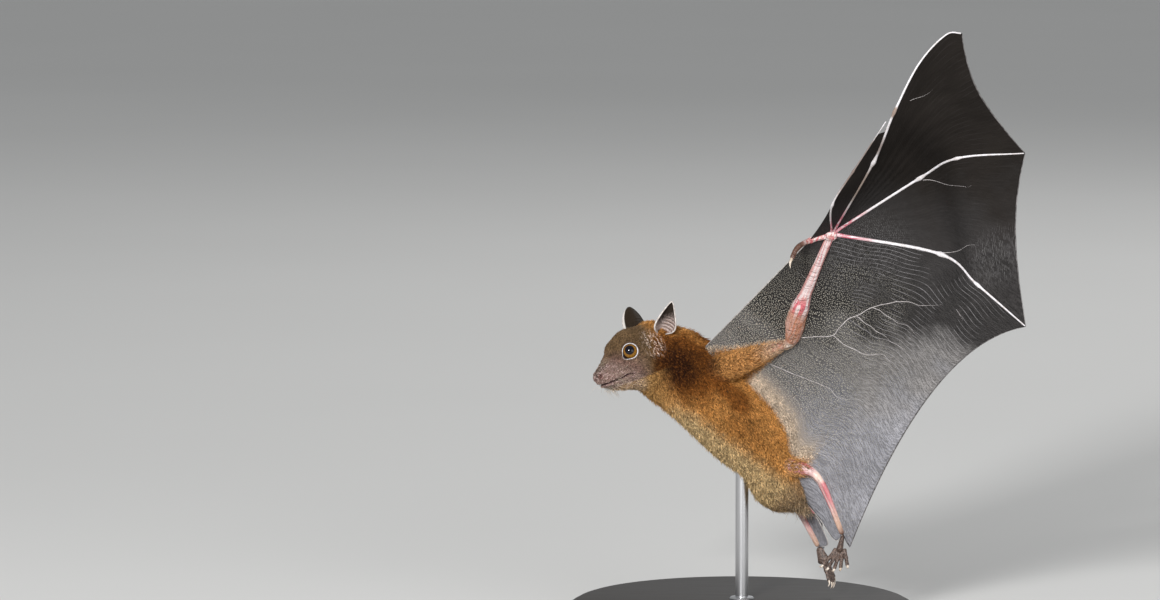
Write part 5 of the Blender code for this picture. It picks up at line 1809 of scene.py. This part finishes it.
def limb_coat(name, path, radii, hint, fields, count, coat_material):
    """Fur of a limb; fields holds (share, value) pairs for each of a coat's qualities."""
    points, share = tube_grid(limb(path, radii, hint), 120, 40)
    out = unit(points - path(share.ravel()).reshape(points.shape))
    lie = unit(np.gradient(points, axis=0))
    fields = {key: table(pairs, share) for key, pairs in fields.items()}
    add_coat(name, points, out, lie, fields, count, coat_material)


def web_fur(name, place, across, along, zones, count, coat_material):
    """Fur on both faces of a wing skin; zones(u, v, points) gives its fields and its lie."""
    rows = columns = 120
    v = np.linspace(*along, rows)[:, None] * np.ones(columns)
    u = np.linspace(*across, columns) * np.ones((rows, 1))
    points = place(u.ravel(), v.ravel()).reshape(rows, columns, 3)
    normal = grid_normals(points, False)
    fields, lie = zones(u, v, points)
    for face, turned in (("under", 1), ("upper", -1)):
        add_coat("{}_{}".format(name, face), points, normal * turned, lie, fields, count, coat_material)


def behind_arm(u, v, points):
    """Fur of armpit and flank that runs onto the skin, a pale strip beside it, and sparse hairs beyond."""
    from_flank = np.linalg.norm(points - points[:, :1], axis=-1)
    from_arm = np.linalg.norm(points - points[:1], axis=-1)
    armpit = soft_step(1.15, 0.8, from_arm / table(ARMPIT_REACH, u))
    above_hip = soft_step(0.66, 0.54, v)
    flank = soft_step(6.8, 4.8, from_flank) * above_hip
    strip = soft_step(17.0, 7.5, from_flank) * above_hip
    sparse = soft_step(46.0, 8.0, from_flank) * soft_step(0.95, 0.5, v)
    furred = np.maximum(armpit, flank)
    close = np.maximum(furred, strip)
    fields = {"density": np.maximum(1.5 * furred, 1.9 * strip) + 0.20 * sparse + 1e-5,
              "length": 0.9 + 1.7 * close, "height": 0.28 + 0.75 * close, "width": 0.11 + 0.09 * close,
              "pale": np.clip(0.95 - 1.0 * furred, 0, 1)}
    lie = (unit(np.gradient(points, axis=1)) * (0.10 + 0.8 * furred)[..., None]
           + unit(np.gradient(points, axis=0)) * (1.0 - 0.3 * armpit)[..., None])
    return fields, lie


def before_arm(u, v, points):
    """Orange fur over the shoulder that ends in a pale fringe along the arm."""
    from_arm = np.linalg.norm(points - points[:1], axis=-1)
    share = from_arm / table(SHOULDER_REACH, u)
    fur = soft_step(1.0, 0.85, share)
    sparse = 0.16 * soft_step(0.8, 0.4, u)
    fringe = soft_step(0.62, 0.85, share)
    fields = {"density": fur + sparse + 1e-5, "length": 0.9 + 1.3 * fur, "height": 0.28 + 0.6 * fur,
              "width": 0.11 + 0.07 * fur, "pale": np.clip(0.95 * np.maximum(fringe, 1 - fur), 0, 1)}
    lie = unit(np.gradient(points, axis=1)) + unit(np.gradient(points, axis=0)) * 0.15
    return fields, lie


def make_coat():
    """All fur, on the body, the limbs and the edges of the wing skins."""
    coat_material = coat_finish()
    body_coat(coat_material)
    for side, sign in SIDES:
        at, joint = wing_points(sign), leg_joints(side, sign)
        limb_coat("coat_arm_" + side, arm_bone(at), ARM_SKIN, (0, 0, 1), ARM_FUR, ARM_TUFTS, coat_material)
        leg_path = path_through((joint["hip"], joint["knee"], joint["ankle"]))
        limb_coat("coat_thigh_" + side, leg_path, LEG_SKIN, (0, 1, 0.2), THIGH_FUR, THIGH_TUFTS,
                  coat_material)
        web_fur("coat_flank_" + side, arm_skin_place(side, sign), (0.0, 0.62), (0.0, 0.9), behind_arm,
                FLANK_TUFTS, coat_material)
        web_fur("coat_shoulder_" + side, front_skin_place(sign), (0.0, 0.80), (0.0, 0.95), before_arm,
                SHOULDER_TUFTS, coat_material)


# ---- the stand
def turned_profile(name, profile, segments, made):
    """A solid of revolution on the upright axis: profile holds (radius, height) in millimetres."""
    (first_radius, first_height), (next_radius, next_height) = profile[:2]
    middle = first_height * MM + MM / 2
    thing = added(bpy.ops.mesh.primitive_cylinder_add, name, vertices=segments, radius=first_radius * MM,
                  depth=MM, end_fill_type="NGON", location=(0, 0, middle))
    bpy.ops.object.transform_apply(location=True)
    mesh = thing.data
    for vert in mesh.vertices:
        if vert.co.z > middle:
            vert.co.x *= next_radius / first_radius
            vert.co.y *= next_radius / first_radius
            vert.co.z = next_height * MM
    for (low_radius, low_height), (radius, height) in zip(profile[1:], profile[2:]):
        bpy.ops.object.mode_set(mode="EDIT")
        bpy.ops.mesh.select_mode(type="FACE")
        bpy.ops.mesh.select_all(action="DESELECT")
        bpy.ops.object.mode_set(mode="OBJECT")
        top = max(mesh.polygons, key=lambda face: (face.center.z if face.normal.z > 0.5 else -1.0, face.area))
        top.select = True
        bpy.ops.object.mode_set(mode="EDIT")
        bpy.ops.mesh.extrude_region_move(TRANSFORM_OT_translate={"value": (0, 0, (height - low_height) * MM)})
        growth = radius / low_radius
        bpy.ops.transform.resize(value=(growth, growth, 1.0), center_override=(0, 0, 0))
        bpy.ops.object.mode_set(mode="OBJECT")
    finish(thing, made)
    only(thing)
    bpy.ops.object.shade_smooth_by_angle(angle=math.radians(35))
    return thing


def make_stand():
    """A round base with a rod into the belly."""
    wood, steel = stand_finish(), steel_finish()
    hole = ROD_RADIUS + 0.35
    base = turned_profile("display_base", (
        (BASE_RADIUS - 0.9, 0.0), (BASE_RADIUS, 0.9), (BASE_RADIUS, 6.4), (BASE_RADIUS - 0.5, 7.4),
        (BASE_RADIUS - 2.2, 8.6), (BASE_RADIUS - 3.2, 8.9), (BASE_RADIUS - 4.0, 9.6),
        (BASE_RADIUS - 5.2, BASE_HEIGHT), (hole + 0.3, BASE_HEIGHT), (hole, BASE_HEIGHT - 0.3)), 160, wood)
    settle(base, "stand_black", "stand_base")
    rod_top = BELLY_HEIGHT + ROD_REACH
    rod = turned_profile("display_rod", (
        (ROD_RADIUS, 4.4), (ROD_RADIUS, rod_top - 0.6), (ROD_RADIUS - 0.5, rod_top)), 48, steel)
    settle(rod, "stand_steel", "stand_rod")
    collar = turned_profile("display_collar", (
        (ROD_RADIUS + 2.2, BASE_HEIGHT - 0.2), (ROD_RADIUS + 2.2, BASE_HEIGHT + 0.9),
        (ROD_RADIUS + 1.8, BASE_HEIGHT + 1.4), (ROD_RADIUS + 0.2, BASE_HEIGHT + 1.6)), 64, steel)
    settle(collar, "stand_steel")


# ---- floor, lights and camera
FLOOR_SIZE = 60.0
LENS_LENGTH = 201.5
CAMERA_PLACE = (-0.0624, -2.4792, 0.3870)
CAMERA_TILT = 84.0
LIGHTS_AIM = (0.02, 0.0, 0.13)


def area_light(name, place, aim, size, watts):
    """A white square lamp that faces its aim."""
    lamp = bpy.data.lights.new(name, "AREA")
    lamp.size = size
    lamp.energy = watts
    thing = bpy.data.objects.new(name, lamp)
    bpy.context.scene.collection.objects.link(thing)
    thing.location = place
    thing.rotation_euler = (Vector(aim) - Vector(place)).to_track_quat("-Z", "Y").to_euler()
    return thing


def make_stage():
    """Floor, sky and three lights."""
    floor = added(bpy.ops.mesh.primitive_plane_add, "floor", size=FLOOR_SIZE, location=(0, 0, 0))
    floor.data.materials.append(floor_finish())
    sky = bpy.data.worlds.new("studio")
    sky.use_nodes = True
    glow = sky.node_tree.nodes["Background"].inputs
    glow["Color"].default_value = (0.86, 0.88, 0.90, 1.0)
    glow["Strength"].default_value = 0.45
    bpy.context.scene.world = sky
    area_light("key", (-0.60, -1.9, 0.85), LIGHTS_AIM, 0.35, 52.0)
    area_light("fill", (0.9, -1.2, 0.5), LIGHTS_AIM, 0.9, 7.0)
    area_light("back", (0.6, 1.5, 1.4), LIGHTS_AIM, 0.8, 10.0)


def make_camera():
    """A long lens, level with the bat and tipped a little down."""
    lens = bpy.data.cameras.new("camera")
    lens.lens = LENS_LENGTH
    lens.clip_end = 100.0
    camera = bpy.data.objects.new("camera", lens)
    bpy.context.scene.collection.objects.link(camera)
    camera.location = CAMERA_PLACE
    camera.rotation_euler = (math.radians(CAMERA_TILT), 0.0, 0.0)
    bpy.context.scene.camera = camera


bpy.context.scene.view_settings.view_transform = "Standard"
make_camera()
make_skin()
fingers = finger_finish()
for wing_side, wing_sign in SIDES:
    make_wing(wing_side, wing_sign, fingers)
make_coat()
make_stand()
make_stage()
